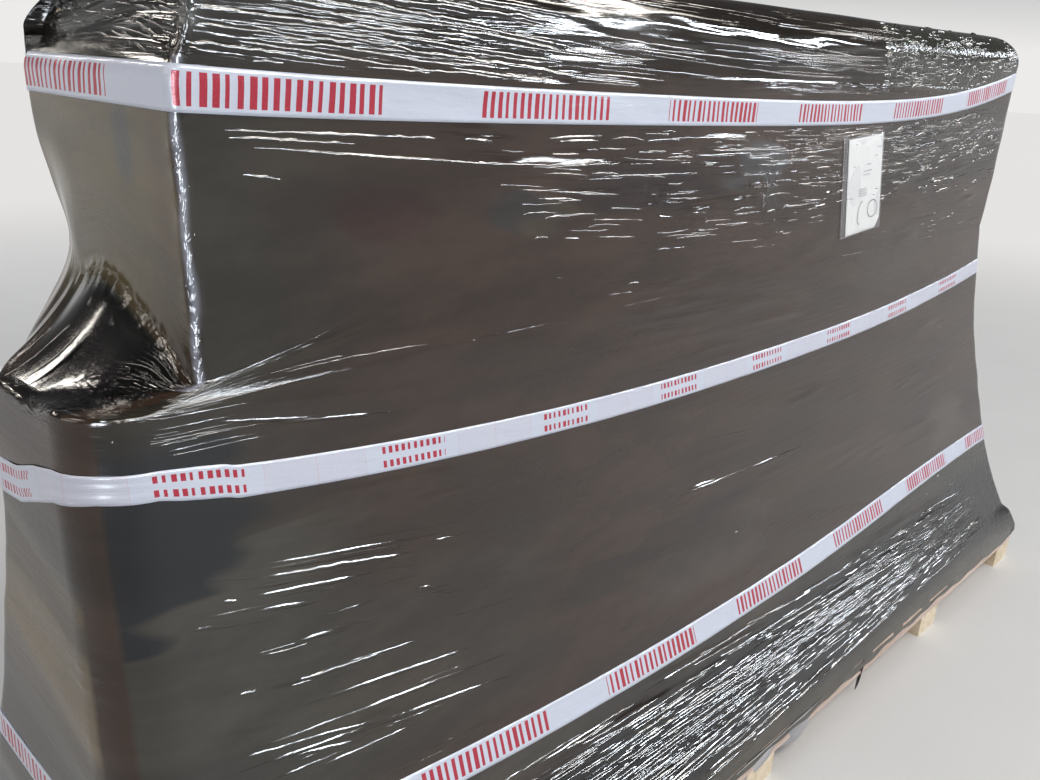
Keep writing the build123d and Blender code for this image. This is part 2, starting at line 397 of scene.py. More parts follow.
# Each column's distance round the load from the near front corner, on the upper tier
end_length, front_length = 2 * upper_half, upper_right - upper_left
corner_length, far_corner_length = 0.02, 0.045
column_u = np.concatenate([
    (near_shares - 1) * end_length - corner_length / 2,
    (near_angles - 0.5) * corner_length,
    corner_length / 2 + front_shares * front_length,
    corner_length / 2 + front_length + far_angles * far_corner_length,
    corner_length / 2 + front_length + far_corner_length + far_shares * end_length,
    corner_length / 2 + front_length + far_corner_length + end_length + back_angles * far_corner_length,
    corner_length / 2 + front_length + 2 * far_corner_length + end_length + back_shares * front_length,
])

# The rim of the film tent over the step, and the step's top edge, by place across the end
rim_places = [
    -0.227, -0.196, -0.172, -0.138, -0.094, -0.077, -0.037, 0.006, 0.041, 0.077, 0.112, 0.134, 0.21
]
rim_heights = [
    1.096, 1.102, 1.128, 1.142, 1.16, 1.168, 1.186, 1.19, 1.181, 1.165, 1.183, 1.197, 1.205
]
edge_shares = [0, 0.25, 0.42, 0.52, 0.62, 0.8, 0.93, 1]
edge_heights = [0.98, 0.985, 1.02, 1.067, 1.067, 1.066, 1.072, 1.078]
crease_share = 0.52
crease_place = 0.077


def plan_points(x, y):
    """Points from their two coordinates, either of which may be one for a whole row."""
    return np.stack(np.broadcast_arrays(x, y))


def near_path(left, half, near):
    """Points of the near end, from its rear to its front corner, at every level."""
    start = plan_points(left + rows["cut_x"], half)
    kink = plan_points(left, half - rows["cut_y"])
    end = plan_points(left, -half + near)
    first = np.hypot(*(kink - start))
    second = np.hypot(*(end - kink))
    upper_share = np.interp(
        near_shares, [0, crease_share, 1], [0, (upper_half - crease_place) / (2 * upper_half), 1]
    )
    along = blend(near_shares, upper_share, rows["roof"]) * (first + second)
    on_first = np.clip(along / first, 0, 1)
    on_second = np.clip((along - first) / second, 0, 1)
    return start + (kink - start) * on_first + (end - kink) * on_second


def arc(center_x, center_y, radius, start, shares):
    """Points of a quarter turn."""
    angle = radians(start) + shares * pi / 2
    return plan_points(center_x + radius * np.cos(angle), center_y + radius * np.sin(angle))


def hood_grid():
    """The points of the hood, a little outside the solid, as rows, columns and axes."""
    r = rows
    reach = film_growth * r["reach"]
    left, right, half = r["left"] - reach, r["right"] + reach, r["half"] + reach
    near, far = r["near"] + reach, r["far"] + reach
    plan = np.concatenate([
        near_path(left, half, near),
        arc(left + near, -half + near, near, 180, near_angles),
        plan_points(blend(left + near, right - far, front_shares), -half),
        arc(right - far, -half + far, far, 270, far_angles),
        plan_points(right, blend(-half + far, half - far, far_shares)),
        arc(right - far, half - far, far, 0, back_angles),
        plan_points(blend(right - far, left + r["cut_x"], back_shares), half),
    ], axis=2)
    z = (r["z"] + film_growth * r["lift"]) * np.ones((1, column_count))

    # The tent over the step: its rim rises and falls across the end
    near_columns = slice(0, near_count)
    in_roof = (r["roof"][:, 0] > 0) & (r["z"][:, 0] < roof_top + 1e-6)
    rim = np.interp(plan[1][in_roof][-1], rim_places, rim_heights)
    rim[near_count:] = np.interp(
        column_u[near_count:], [0, 0.02, 0.25, 0.4], [1.096, 1.1, 1.15, roof_top]
    )
    edge = np.full(column_count, lower_top)
    edge[near_columns] = np.interp(near_shares, edge_shares, edge_heights)
    edge[near_count:] = np.interp(column_u[near_count:], [0, 0.03, 0.2], [1.079, 1.078, lower_top])
    bend_start = 0.6
    fall = np.clip((r["z"] - bend_start) / (lower_top - bend_start), 0, 1)
    z = np.where(r["z"] <= lower_top, z + (edge - lower_top) * fall**2, z)
    flare = 1 - (1 - r["roof"]) ** (1 / 1.5)
    side = np.ones(column_count)
    side[near_columns] = smooth_step(near_shares, 0.44, 0.56)
    roof_z = blend(edge, rim, blend(flare, r["roof"] ** (1 / 0.6), side))
    z = np.where(in_roof[:, None], roof_z + film_growth, z)
    above = (~in_roof) & (r["z"][:, 0] > roof_top) & (r["z"][:, 0] <= upper_base)
    climb = (r["z"] - roof_top) / (upper_base - roof_top)
    z = np.where(above[:, None], blend(rim + film_growth, upper_base, climb), z)

    # The crown closes on the line along the middle of the top
    top = r["top"]
    core_x = np.clip(plan[0], upper_left + 0.2, upper_right - 0.2)
    plan = np.stack([blend(plan[0], core_x, top), blend(plan[1], 0 * plan[1], top)])
    return np.stack([plan[0], plan[1], z], axis=2)


def smoothed(field, axis, passes):
    """The field smoothed along one axis, on which its two ends stay."""
    field = np.moveaxis(field.copy(), axis, 0)
    for _ in range(passes):
        field[1:-1] = (field[:-2] + 2 * field[1:-1] + field[2:]) / 4
    return np.moveaxis(field, 0, axis)


base = hood_grid()
base[:, 1:near_count - 3] = smoothed(base[:, 1:near_count - 3], 1, 4)
base_x, base_y, heights = np.moveaxis(base, 2, 0)

# The film is drawn in at the near rear corner over the step
from_corner = np.minimum(column_u + end_length + corner_length / 2, column_u[-1] - column_u)
waist = bell(heights, 1.19, 0.11) * bell(from_corner, 0, 0.13)
base_x += 0.03 * waist
base_y -= 0.03 * waist
# The front is smoothed up and down, because the film spans the edges of the tiers
along_front = smooth_step(column_u, 0.12, 0.5) * (column_u < column_u[front_end])
below_shoulder = 1 - smooth_step(heights, 1.42, 1.5)
for _ in range(3):
    base_y[:] = blend(base_y, smoothed(base_y, 0, 50), along_front * below_shoulder)
# The film bulges out over the pallet's far front corner
lobe = smooth_step(heights, 0.085, 0.12) * (1 - smooth_step(heights, 0.155, 0.19))
lobe = lobe * bell(column_u, column_u[front_end] + 0.03, 0.1)
base_x += 0.022 * lobe
base_y -= 0.008 * lobe
# Above the top tape the film leans inward, on the front and at the near end
lean = 0.12 * np.clip(heights - 1.43, 0, 0.09) * (1 - rows["top"])
leaning = smooth_step(column_u, 0.05, 0.15) * (1 - smooth_step(column_u, 2.2, 2.45))
leaning *= 1 - 0.35 * smooth_step(column_u, 0.5, 1.0)
base_y += lean * leaning
on_near_end = 1 - smooth_step(column_u, -0.01, 0.03)
base_x += 0.028 * smooth_step(heights, 1.42, 1.5) * on_near_end
# The top is lower at the near rear
sunk = smooth_step(heights, 1.42, 1.56) * bell(base_x, upper_left, 0.4)
heights -= 0.055 * sunk * smooth_step(base_y, -0.16, 0.2)


def grid_normals(grid):
    """Outward normals of the grid."""
    along = np.gradient(grid, axis=1)
    up = np.gradient(grid, axis=0)
    up[-1] = up[-2]
    normal = np.cross(along, up)
    return normal / np.maximum(np.linalg.norm(normal, axis=2, keepdims=True), 1e-9)


normals = grid_normals(base)
# The crown's last rows lie close together, so their normals are set
normals[-6:] = (0, 0, 1)
profile = np.zeros(row_count)
mid_column = (front_start + front_end) // 2
profile[1:] = np.cumsum(np.linalg.norm(np.diff(base[:, mid_column], axis=0), axis=1))
profile += hem_height
distance_u = column_u[None] * np.ones((row_count, 1))
profile_v = profile[:, None] * np.ones((1, column_count))


# Film relief, as a height over the grid
def wave_field(scale_u, scale_v, count, seed):
    """A smooth random field of about unit height, from sine waves."""
    draw = np.random.default_rng(seed)
    field = np.zeros((row_count, column_count))
    for _ in range(count):
        angle = draw.normal(0, 0.35)
        pace = draw.uniform(0.5, 1.5)
        phase = draw.uniform(0, 2 * pi)
        across = distance_u * sin(angle) / scale_u * 0.3 + profile_v * cos(angle) / scale_v
        along = distance_u / scale_u * draw.uniform(0.4, 1.3)
        field += np.sin(2 * pi * pace * (across + along) + phase)
    return field / np.sqrt(count / 2)


def u_of(x, z):
    """The distance round the load of a place on the front."""
    row = int(np.argmin(np.abs(heights[:, mid_column] - z)))
    return float(np.interp(x, base_x[row, front_start:front_end], column_u[front_start:front_end]))


def v_of(z):
    """The distance up the hood of a height on the front."""
    return float(np.interp(z, heights[:, mid_column], profile))


relief = np.zeros((row_count, column_count))


def add_ridge(u, v, length, slope, width, height, bend):
    """Raises one long thin pleat round a place, in metres along and up the surface."""
    reach = 3.2 * width + abs(slope) * length / 2 + abs(bend)
    first_row, last_row = np.searchsorted(profile, [v - reach, v + reach])
    first, last = np.searchsorted(column_u, [u - length / 2, u + length / 2])
    if last - first < 2 or last_row <= first_row:
        return
    window = (slice(first_row, last_row), slice(first, last))
    along = (distance_u[window] - u) / (length / 2)
    line = v + slope * (distance_u[window] - u) + bend * along * along
    across = (profile_v[window] - line) / width
    relief[window] += height * (1 - along * along) ** 1.5 * np.exp(-across * across)


def add_bundle(u, v, length, slope, count, spread, width, height):
    """Raises a group of nearly parallel pleats."""
    for _ in range(count):
        share = rng.uniform(0.35, 1)
        add_ridge(
            u + rng.uniform(-0.5, 0.5) * length * (1 - share),
            v + rng.normal(0, spread),
            length * share,
            slope + rng.normal(0, 0.02),
            width * rng.uniform(0.7, 1.4),
            height * rng.uniform(0.4, 1.2),
            rng.normal(0, 0.004),
        )


# How far the wrap's lines rise along the front, by place and height
slope_places = [-1.3, -0.9, -0.4, 0.1, 0.6, 1.1]
slope_heights = [0.3, 0.6, 0.95, 1.4]
slopes = [
    [-0.10, -0.10, -0.09, -0.08, -0.06, 0.00],
    [-0.22, -0.15, -0.07, -0.04, 0.01, 0.05],
    [-0.20, -0.12, -0.07, -0.03, 0.03, 0.08],
    [-0.07, -0.05, -0.03, -0.01, 0.03, 0.12],
]


def wrap_slope(x, z):
    """The slope of the wrap's lines at a place on the front."""
    by_height = [np.interp(x, slope_places, line) for line in slopes]
    return float(np.interp(z, slope_heights, by_height))


def fill_region(x_range, z_range, bundles, length, spread, width, height, size):
    """Scatters bundles of soft pleats over a region of the front."""
    for _ in range(bundles):
        x = rng.uniform(*x_range)
        z = rng.uniform(*z_range)
        add_bundle(
            u_of(x, z), v_of(z), length * rng.uniform(0.5, 1.5),
            wrap_slope(x, z) + rng.normal(0, 0.015),
            rng.integers(2, size + 1), spread, width, height,
        )


# Regions of the front: along it, up it, bundles, length, spread, width, height and largest bundle
soft_regions = (
    ((-1.2, -0.75), (1.43, 1.58), 40, 0.5, 0.014, 0.008, 0.0048, 5),
    ((-1.12, -0.75), (1.46, 1.56), 12, 0.35, 0.02, 0.018, 0.005, 2),
    ((-0.8, -0.45), (1.43, 1.58), 10, 0.4, 0.016, 0.005, 0.001, 5),
    ((-0.45, 0.45), (1.5, 1.575), 34, 0.4, 0.012, 0.0032, 0.0004, 5),
    ((-0.85, 1.2), (1.3, 1.375), 20, 0.3, 0.012, 0.005, 0.0011, 5),
    ((-0.6, 1.0), (1.12, 1.37), 34, 0.25, 0.014, 0.005, 0.0009, 5),
    ((-1.2, 1.1), (0.5, 1.2), 30, 0.3, 0.02, 0.007, 0.0008, 5),
    ((-1.3, -0.8), (0.5, 0.9), 16, 0.25, 0.016, 0.006, 0.0016, 5),
)
for region in soft_regions:
    fill_region(*region)


def rope_height(x, share):
    """A height in the dense band above the hem, from its lower to its upper edge."""
    return blend(0.135 + 0.02 * x, 0.335 - 0.03 * x, share)


def rope_slope(share, spread):
    """A random slope for a pleat in that band, which follows its two edges."""
    return blend(0.02, -0.06, share) + rng.normal(0, spread)


for _ in range(70):
    x = rng.uniform(-1.2, 1.05)
    share = rng.uniform(0, 1)
    z = rope_height(x, share)
    length = rng.uniform(0.2, 0.6)
    slope = rope_slope(share, 0.015)
    add_bundle(u_of(x, z), v_of(z), length, slope, rng.integers(2, 6), 0.012, 0.006, 0.0014)

# Where pleats pile up, the relief levels off
most_relief = 0.007
relief = most_relief * np.tanh(relief / most_relief)
# The tent's rim is jagged, and so is the near front corner above the step
rim_row = hem_count + skirt_count + roof_count
rim_rise = bell(np.arange(row_count)[:, None], rim_row, 3.5)
on_rim = smooth_step(near_shares, 0.5, 0.56) * (1 - smooth_step(near_shares, 0.94, 1))
jagged = 1 + 0.5 * np.sin(near_shares * 190) + 0.4 * np.sin(near_shares * 83 + 2)
relief[:, :near_count] += 0.0035 * rim_rise * (on_rim * jagged)
spiky = np.convolve(rng.normal(0, 1, row_count), [0.25, 0.5, 0.25], "same")
relief += 0.0012 * spiky[:, None] * bell(column_u, 0.0, 0.008) * smooth_step(heights, 1.05, 1.15)
# The whole film has slow waves
relief += 0.0013 * wave_field(1.6, 0.45, 7, 1) + 0.0003 * wave_field(0.5, 0.12, 9, 2)

# Places of the three tapes, as heights of their centre lines by place along the front
tape_lines = {
    "top": [(-1.257, 1.418), (-0.549, 1.398), (0.199, 1.390), (0.885, 1.420), (1.218, 1.471)],
    "middle": [
        (-1.302, 0.992), (-1.07, 0.953), (-0.742, 0.928), (0.112, 0.898), (0.75, 0.922), (1.15, 0.962)
    ],
    "bottom": [
        (-1.35, 0.473), (-0.952, 0.431), (-0.58, 0.403), (0.101, 0.391), (0.686, 0.407), (1.324, 0.426)
    ],
}
tape_half_width = 0.024
# The middle tape where it turns round the step, by distance round the load
turn_places = [-0.42, -0.3, -0.2, -0.123, -0.066, -0.01, 0.0, 0.01, 0.035, 0.06, 0.1]
turn_heights = [0.93, 0.935, 0.942, 0.955, 0.977, 0.995, 1.003, 1.0, 0.994, 0.989, 0.981]
turn_half_widths = [0.024, 0.024, 0.024, 0.0245, 0.0235, 0.02, 0.017, 0.0175, 0.0195, 0.0205, 0.021]


def tape_heights(name):
    """The height of a tape's centre line at every column."""
    places, line = np.array(tape_lines[name]).T
    smooth_x = np.linspace(places[0], places[-1], 200)
    curve = np.polyval(np.polyfit(places, line, 4), smooth_x)
    row = int(np.argmin(np.abs(heights[:, mid_column] - line.mean())))
    found = np.interp(base_x[row], smooth_x, curve)
    if name == "middle":
        turning = column_u < turn_places[-1]
        found[turning] = np.interp(column_u[turning], turn_places, turn_heights)
        near_corner = slice(3, front_start + 30)
        found[near_corner] = np.convolve(found, [0.1, 0.2, 0.4, 0.2, 0.1], "same")[near_corner]
        last = column_u[-1]
        on_rear = column_u > last - 0.8
        rear_share = smooth_step(column_u[on_rear], last - 0.8, last)
        found[on_rear] = blend(found[on_rear], turn_heights[0], rear_share)
    return found


tapes = {name: tape_heights(name) for name in tape_lines}
tape_widths = {name: np.full(column_count, tape_half_width) for name in tape_lines}
tape_widths["middle"] = np.interp(column_u, turn_places, turn_half_widths)

# The film is pressed flat under the tapes and the pouch
relief = np.maximum(relief + 0.0005, -0.0022)
calm = smoothed(smoothed(relief, 0, 30), 1, 30)
pressed = np.zeros_like(relief)
for line in tapes.values():
    away = np.abs(heights - line) / tape_half_width
    pressed = np.maximum(pressed, 1 - smooth_step(away, 0.95, 1.5))
relief = np.where(pressed > 0, blend(relief, np.minimum(relief, calm) - 0.0002, pressed), relief)
over_pouch = bell(base_x, 0.345, 0.13) ** 0.5 * bell(heights, 1.236, 0.14) ** 0.5
over_pouch *= distance_u < column_u[front_end]
relief = blend(relief, np.minimum(relief, 0.0), np.clip(over_pouch * 1.6, 0, 1))


def crown_folds(x, y):
    """The folds of the film on the flat top. They run mostly along the load."""
    draw = np.random.default_rng(11)
    folds = np.zeros_like(x)
    for _ in range(9):
        pace_x, pace_y = draw.normal(0, 2.2), draw.uniform(9, 19)
        sway = 0.8 * np.sin(draw.uniform(2, 6) * x + draw.uniform(0, 2 * pi))
        wave = np.sin(2 * pi * (pace_x * x + pace_y * y) + sway + draw.uniform(0, 2 * pi))
        folds += 0.0003 * (1 - 2 * np.abs(wave)) * draw.uniform(0.5, 1)
    for _ in range(5):
        pace_x, pace_y = draw.normal(0, 3.5), draw.normal(0, 3.5)
        folds += 0.0014 * np.sin(2 * pi * (pace_x * x + pace_y * y) + draw.uniform(0, 2 * pi))
    return folds


on_crown = smooth_step(rows["top"], 0, 0.2)
relief = blend(relief, crown_folds(base_x, base_y), on_crown)
film = base + normals * relief[:, :, None]

# Hem: ragged, and turned in under the bearers
ragged = 0.002 + 0.003 * np.sin(column_u * 23) + 0.0025 * np.sin(column_u * 61 + 1)
film[:hem_count, :, 2] += ragged * np.linspace(1, 0, hem_count)[:, None]
turned_in = film[0] - normals[0] * 0.0025 + np.array([0, 0, 0.001])
film = np.concatenate([turned_in[None], film])


def with_hem(field):
    """A field of the hood with its lowest row doubled, for the film's turned in hem."""
    return np.concatenate([field[:1], field])


uv_u, uv_v = with_hem(distance_u), with_hem(profile_v)
uv_v[0] -= 0.0025


def film_material():
    """Black stretch film: glossy, with fine streaks along the wrap, a brown cast, and a tint by place that
    holds painted shade, highlights and reflections.
    """
    material, tree = new_material("black_film")
    calc = partial(math_node, tree)
    surface = on_surface(tree)
    warp = noise(tree, stretched(tree, surface, (1.3, 4, 1)), 1.0, 2)
    shift = add_node(tree, "CombineXYZ", {"Y": calc("MULTIPLY", warp, 0.05)})
    added = {0: surface, 1: shift.outputs[0]}
    warped = add_node(tree, "VectorMath", added, operation="ADD").outputs[0]
    coarse = noise(tree, stretched(tree, warped, (2.5, 90, 1)), 1.0, 4, 0.6)
    fine = noise(tree, stretched(tree, warped, (5, 260, 1), (3, 7, 0)), 1.0, 3, 0.6)
    streak = attribute(tree, "streak")
    height = calc("MULTIPLY_ADD", fine, 0.35, coarse)
    height = calc("MULTIPLY", height, streak)
    normal = bumped(tree, height, 0.006)
    crinkle = noise(tree, surface, 70, 3, 0.55)
    crinkled = calc("MULTIPLY", crinkle, attribute(tree, "crinkle"))
    normal = bumped(tree, crinkled, 0.004, normal)
    smudge = noise(tree, stretched(tree, surface, (3, 9, 1)), 1.0, 4, 0.6)
    tint = attribute(tree, "tint", "Color")
    color = mix_colors(tree, ramp(tree, smudge, 0.35, 0.7), (0.7, 0.7, 0.7, 1), (1.25, 1.2, 1.15, 1))
    color = mix_colors(tree, 1.0, tint, color, "MULTIPLY")
    roughness = ramp(tree, smudge, 0.3, 0.7, 0.1, 0.18)
    sharper = calc("MULTIPLY_ADD", attribute(tree, "sharp"), -0.5, 1.0)
    roughness = calc("MULTIPLY", roughness, sharper)
    principled(tree, Base_Color=color, Roughness=roughness, IOR=1.5, Normal=normal)
    return material


# Soft darker and paler patches of the film's tint by place: middle X and Z, half sizes, tint and strength
tint_patches = [
    (-0.995, 1.265, 0.08, 0.04, (0.034, 0.015, 0.012), 0.9),
    (-0.76, 1.255, 0.05, 0.03, (0.024, 0.028, 0.032), 0.6),
    (-0.68, 1.25, 0.055, 0.03, (0.07, 0.058, 0.042), 0.5),
    (-0.4, 1.28, 0.22, 0.05, (0.016, 0.009, 0.008), 0.9),
    (-0.09, 1.3, 0.09, 0.035, (0.09, 0.1, 0.11), 0.55),
    (-0.03, 1.25, 0.03, 0.05, (0.06, 0.065, 0.07), 0.4),
    (1.02, 0.54, 0.12, 0.09, (0.09, 0.075, 0.062), 0.5),
    (1.2, 0.25, 0.3, 0.16, (0.062, 0.06, 0.05), 0.7),
    (-0.49, 0.6, 0.16, 0.03, (0.018, 0.013, 0.011), 0.7),
    (-0.16, 0.62, 0.12, 0.025, (0.018, 0.014, 0.012), 0.7),
    (0.55, 1.06, 0.2, 0.1, (0.055, 0.045, 0.036), 0.6),
    (-0.95, 0.62, 0.3, 0.16, (0.042, 0.038, 0.03), 0.6),
    (-0.2, 0.52, 0.24, 0.06, (0.055, 0.045, 0.038), 0.6),
]


# Places on the film by point, and shares of it that several values depend on
film_x, film_z = with_hem(base_x), with_hem(heights)
on_front = (uv_u > 0) & (uv_u < column_u[front_end])
in_rope = smooth_step(film_z, 0.11, 0.16) * (1 - smooth_step(film_z, 0.3, 0.37))
far_sheet = (film_x > 0.4) * smooth_step(film_z, 1.435, 1.45) * (uv_u > 0)


def gloss_values():
    """How streaked, crinkled and sharp the film's gloss is, at every point."""
    x, z, u = film_x, film_z, uv_u
    streak = 0.08 + (0.18 * smooth_step(-x, 0.5, 0.9) - 0.03) * smooth_step(z, 1.42, 1.5)
    below_top = 1 - smooth_step(with_hem(rows["top"]), 0, 0.1)
    streak += 0.15 * smooth_step(z, 1.565, 1.585) * below_top
    sharp = smooth_step(x, -0.6, -0.3) * smooth_step(z, 1.43, 1.47)
    streak *= 1 - 0.5 * sharp
    streak += 0.16 * smooth_step(u, 0.5, 1.6) * smooth_step(z, 0.98, 1.2) * (z < 1.45)
    streak += 0.14 * bell(z, 1.33, 0.06) * smooth_step(x, -0.2, 0.3) * on_front
    streak *= 1 - 0.8 * in_rope
    crinkle = 0.05 + 0.35 * bell(u, 0, 0.01) * (z > 1.09) + 0.35 * far_sheet
    crinkle += 0.3 * smooth_step(x, 0.95, 1.15) * (z < 0.42)
    crinkle += 0.9 * bell(u, -0.02, 0.035) * bell(z, 1.09, 0.022)
    crinkle += 0.8 * with_hem(rim_rise) * bell(u, -0.12, 0.12)
    crinkle += 0.6 * bell(x, -0.06, 0.05) * bell(z, 1.27, 0.06) * on_front
    crinkle += 0.3 * bell(u, 0.008, 0.02) * smooth_step(z, 1.45, 1.47)
    return {"streak": streak, "crinkle": crinkle, "sharp": sharp}


def film_tints():
    """The film's tint at every point, as layers painted over one another: tones of the film, with painted
    shade, highlights and reflections among them.
    """
    x, z, u = film_x, film_z, uv_u
    warp = with_hem(wave_field(0.3, 0.1, 6, 7))
    # The front near its corner: olive, paler below, with a painted dark reflection as a bluish patch at
    # the middle tape
    line = 0.4 * (x + 1.37)
    painted_dark_patch = smooth_step(z + 0.012 * warp, 0.795 + line, 0.812 + line)
    painted_dark_patch = painted_dark_patch * (1 - smooth_step(x + 0.02 * warp, -1.25, -1.2))
    by_corner = (1 - smooth_step(x, -1.2, -1.0)) * (z < 0.9) * (z > 0.45)
    layers = [
        ((0.03, 0.027, 0.021), bell(u, 0.03, 0.2) * on_front),
        ((0.047, 0.044, 0.037), on_front * by_corner),
        ((0.009, 0.011, 0.015), on_front * painted_dark_patch * (1 - smooth_step(z, 1.02, 1.07))),
    ]
    for patch_x, patch_z, half_x, half_z, color, strength in tint_patches:
        share_x = 1 - smooth_step(np.abs(x + 0.02 * warp - patch_x) / half_x, 0.5, 1.2)
        share_z = 1 - smooth_step(np.abs(z + 0.008 * warp - patch_z) / half_z, 0.5, 1.2)
        layers.append((color, strength * share_x * share_z * on_front))
    # The band above the hem, darkened as painted shade between its pleats; the strips above it and at the
    # hem; the shoulder, darkened as a painted dark reflection; the far sheet; a painted dark reflection
    # beside the pouch; and a painted pale blue highlight along the near corner
    above_rope = smooth_step(z, 0.33, 0.37) * (1 - smooth_step(z, 0.39, 0.41))
    beside_pouch = smooth_step(x + 0.03 * warp, 0.36, 0.46) * smooth_step(z + 0.01 * warp, 1.17, 1.25)
    # A painted pale blue highlight along the near corner above the step
    painted_corner_highlight = bell(u + 0.0012 * warp, 0.0, 0.0042) * (z > 1.095) * (z < 1.45)
    layers += [
        # Painted shade in the dense band above the hem
        ((0.011, 0.012, 0.014), 0.9 * in_rope),
        ((0.05, 0.049, 0.042), 0.7 * above_rope * (u > 0)),
        ((0.078, 0.073, 0.06), 0.8 * (1 - smooth_step(z, 0.115, 0.15)) * (u > 0)),
        # A painted dark reflection on the shoulder
        ((0.02, 0.019, 0.017), 0.8 * smooth_step(z, 1.42, 1.48)),
        ((0.04, 0.045, 0.036), 0.7 * far_sheet),
        # A painted dark reflection on the front beside the pouch
        ((0.013, 0.01, 0.009), 0.75 * on_front * beside_pouch * (z < 1.42)),
        ((0.4, 0.43, 0.52), 0.75 * painted_corner_highlight),
    ]
    # The near end: olive above the step as a painted reflection, with painted patches of reflection; near
    # black above the top tape and in the tent, as a painted dark reflection; a pale patch at the top of
    # the corner; brown below, with a painted tan reflection across it
    end = u < -0.006
    below = end * (z < 0.95)
    row = with_hem(np.arange(row_count))[:, None]
    in_tent = smooth_step(row, skirt_count + 2, skirt_count + 10)
    in_tent = in_tent * (1 - smooth_step(row, rim_row - 4, rim_row - 1))
    in_tent = in_tent * smooth_step(u + 0.01 * warp, -0.215, -0.16) * end
    layers += [
        # A painted olive reflection above the step, then painted patches of reflection on it
        ((0.105, 0.083, 0.038), end * smooth_step(z, 1.09, 1.2)),
        ((0.045, 0.05, 0.052), end * bell(u, -0.09, 0.016) * bell(z + 0.01 * warp, 1.355, 0.05)),
        ((0.085, 0.058, 0.034), end * bell(u, -0.03, 0.02) * smooth_step(z, 1.12, 1.2) * 0.8),
        # Painted dark reflection above the top tape and in the tent
        ((0.012, 0.011, 0.01), end * smooth_step(z + 0.004 * warp, 1.425, 1.44)),
        ((0.004, 0.004, 0.004), in_tent),
        ((0.12, 0.13, 0.13), bell(u, 0.008, 0.02) * smooth_step(z, 1.46, 1.49) * 0.8),
        ((0.014, 0.009, 0.006), below * 0.9),
        # A painted tan reflection across the lower end
        ((0.16, 0.125, 0.075), below * bell(z + 0.4 * u + 0.02 * warp, 0.7, 0.12) * 0.9),
    ]
    tint = np.array([0.041, 0.024, 0.0165]) + 0 * z[:, :, None]
    for color, share in layers:
        tint = blend(tint, np.array(color), np.clip(share, 0, 1)[:, :, None])
    return tint


def pairs(first, second):
    """Two fields as the pairs of their values."""
    return np.stack(np.broadcast_arrays(first, second), axis=-1)


def quad_faces(grid, closed=False):
    """The faces of a grid of points."""
    index = np.arange(grid.shape[0] * grid.shape[1]).reshape(grid.shape[:2])
    if closed:
        index = np.concatenate([index, index[:, :1]], axis=1)
    return np.stack([index[:-1, :-1], index[:-1, 1:], index[1:, 1:], index[1:, :-1]], axis=2)


film_look = film_material()
values = gloss_values() | {"tint": film_tints()}
faces = quad_faces(film, closed=True)
# The film is cut into pieces at the tapes, and where its flat top starts
bands = sum((film_z[:-1] > line).astype(int) for line in tapes.values())
shoulder_rows_on_top = 9
bands[row_count - crown_count - shoulder_rows_on_top:] += 1
band_names = ("film_skirt", "film_lower", "film_upper", "film_crown", "film_top")
flat_points = film.reshape(-1, 3)
flat_uvs = pairs(uv_u.ravel(), uv_v.ravel())
for band, band_name in enumerate(band_names):
    used, renumbered = np.unique(faces[bands == band], return_inverse=True)
    looks = {label: data.reshape(-1, *data.shape[2:])[used] for label, data in values.items()}
    add_piece(
        band_name, flat_points[used], renumbered, film_look, ["stretch_film"],
        flat_uvs[used], looks,
    )


def link_lamps(lamp_names, piece_names, state):
    """Has lamps light only the given pieces (INCLUDE), or all but them (EXCLUDE)."""
    linked = bpy.data.collections.new("lit_pieces")
    for piece_name in piece_names:
        linked.objects.link(bpy.data.objects[piece_name])
    for held in linked.collection_objects:
        held.light_linking.link_state = state
    for lamp_name in lamp_names:
        bpy.data.objects[lamp_name].light_linking.receiver_collection = linked


# The lamps in front would turn the flat top white in views from behind, so they leave it out,
# and two leave out the shoulder too, which is dark between its pleats
link_lamps(["tube_near", "tube_far", "box_front"], ["film_top"], "EXCLUDE")
link_lamps(["tube_middle", "tube_end_part"], ["film_top", "film_crown"], "EXCLUDE")

# Sharp pleats: thin raised creases that lie on the film and taper to nothing at both ends
profile_across = np.array([-1, -0.5, 0, 0.5, 1])
profile_raise = np.array([-0.12, 0.5, 1, 0.5, -0.12])
pleats = []


def sample(field, u, v):
    """Values of a film field at places on the surface."""
    row = np.interp(v, uv_v[:, mid_column], np.arange(row_count + 1))
    column = np.interp(u, column_u, np.arange(column_count))
    low_row = np.minimum(row.astype(int), row_count - 1)
    low_column = np.minimum(column.astype(int), column_count - 2)
    row_share, column_share = row - low_row, column - low_column
    if field.ndim == 3:
        row_share, column_share = row_share[..., None], column_share[..., None]
    below = blend(field[low_row, low_column], field[low_row, low_column + 1], column_share)
    above = blend(field[low_row + 1, low_column], field[low_row + 1, low_column + 1], column_share)
    return blend(below, above, row_share)


def add_pleat(x, z, length, slope, width, height, bend=0.0):
    """Adds a pleat with its middle at a place on the front."""
    half = length / 2
    pleats.append((u_of(x, z), v_of(z), half, slope * half, width, height, bend))


def add_end_pleat(start, end, width, height, bend):
    """Adds a pleat between two places given by their distances round and up the load."""
    middle, half = np.add(start, end) / 2, np.subtract(end, start) / 2
    pleats.append((*middle, *half, width, height, bend))


def add_crease(start_u, start_v, run, rise, width, height, bend=0.0):
    """Adds a pleat from a place round and up the load, by its run and its rise."""
    add_end_pleat((start_u, start_v), (start_u + run, start_v + rise), width, height, bend)


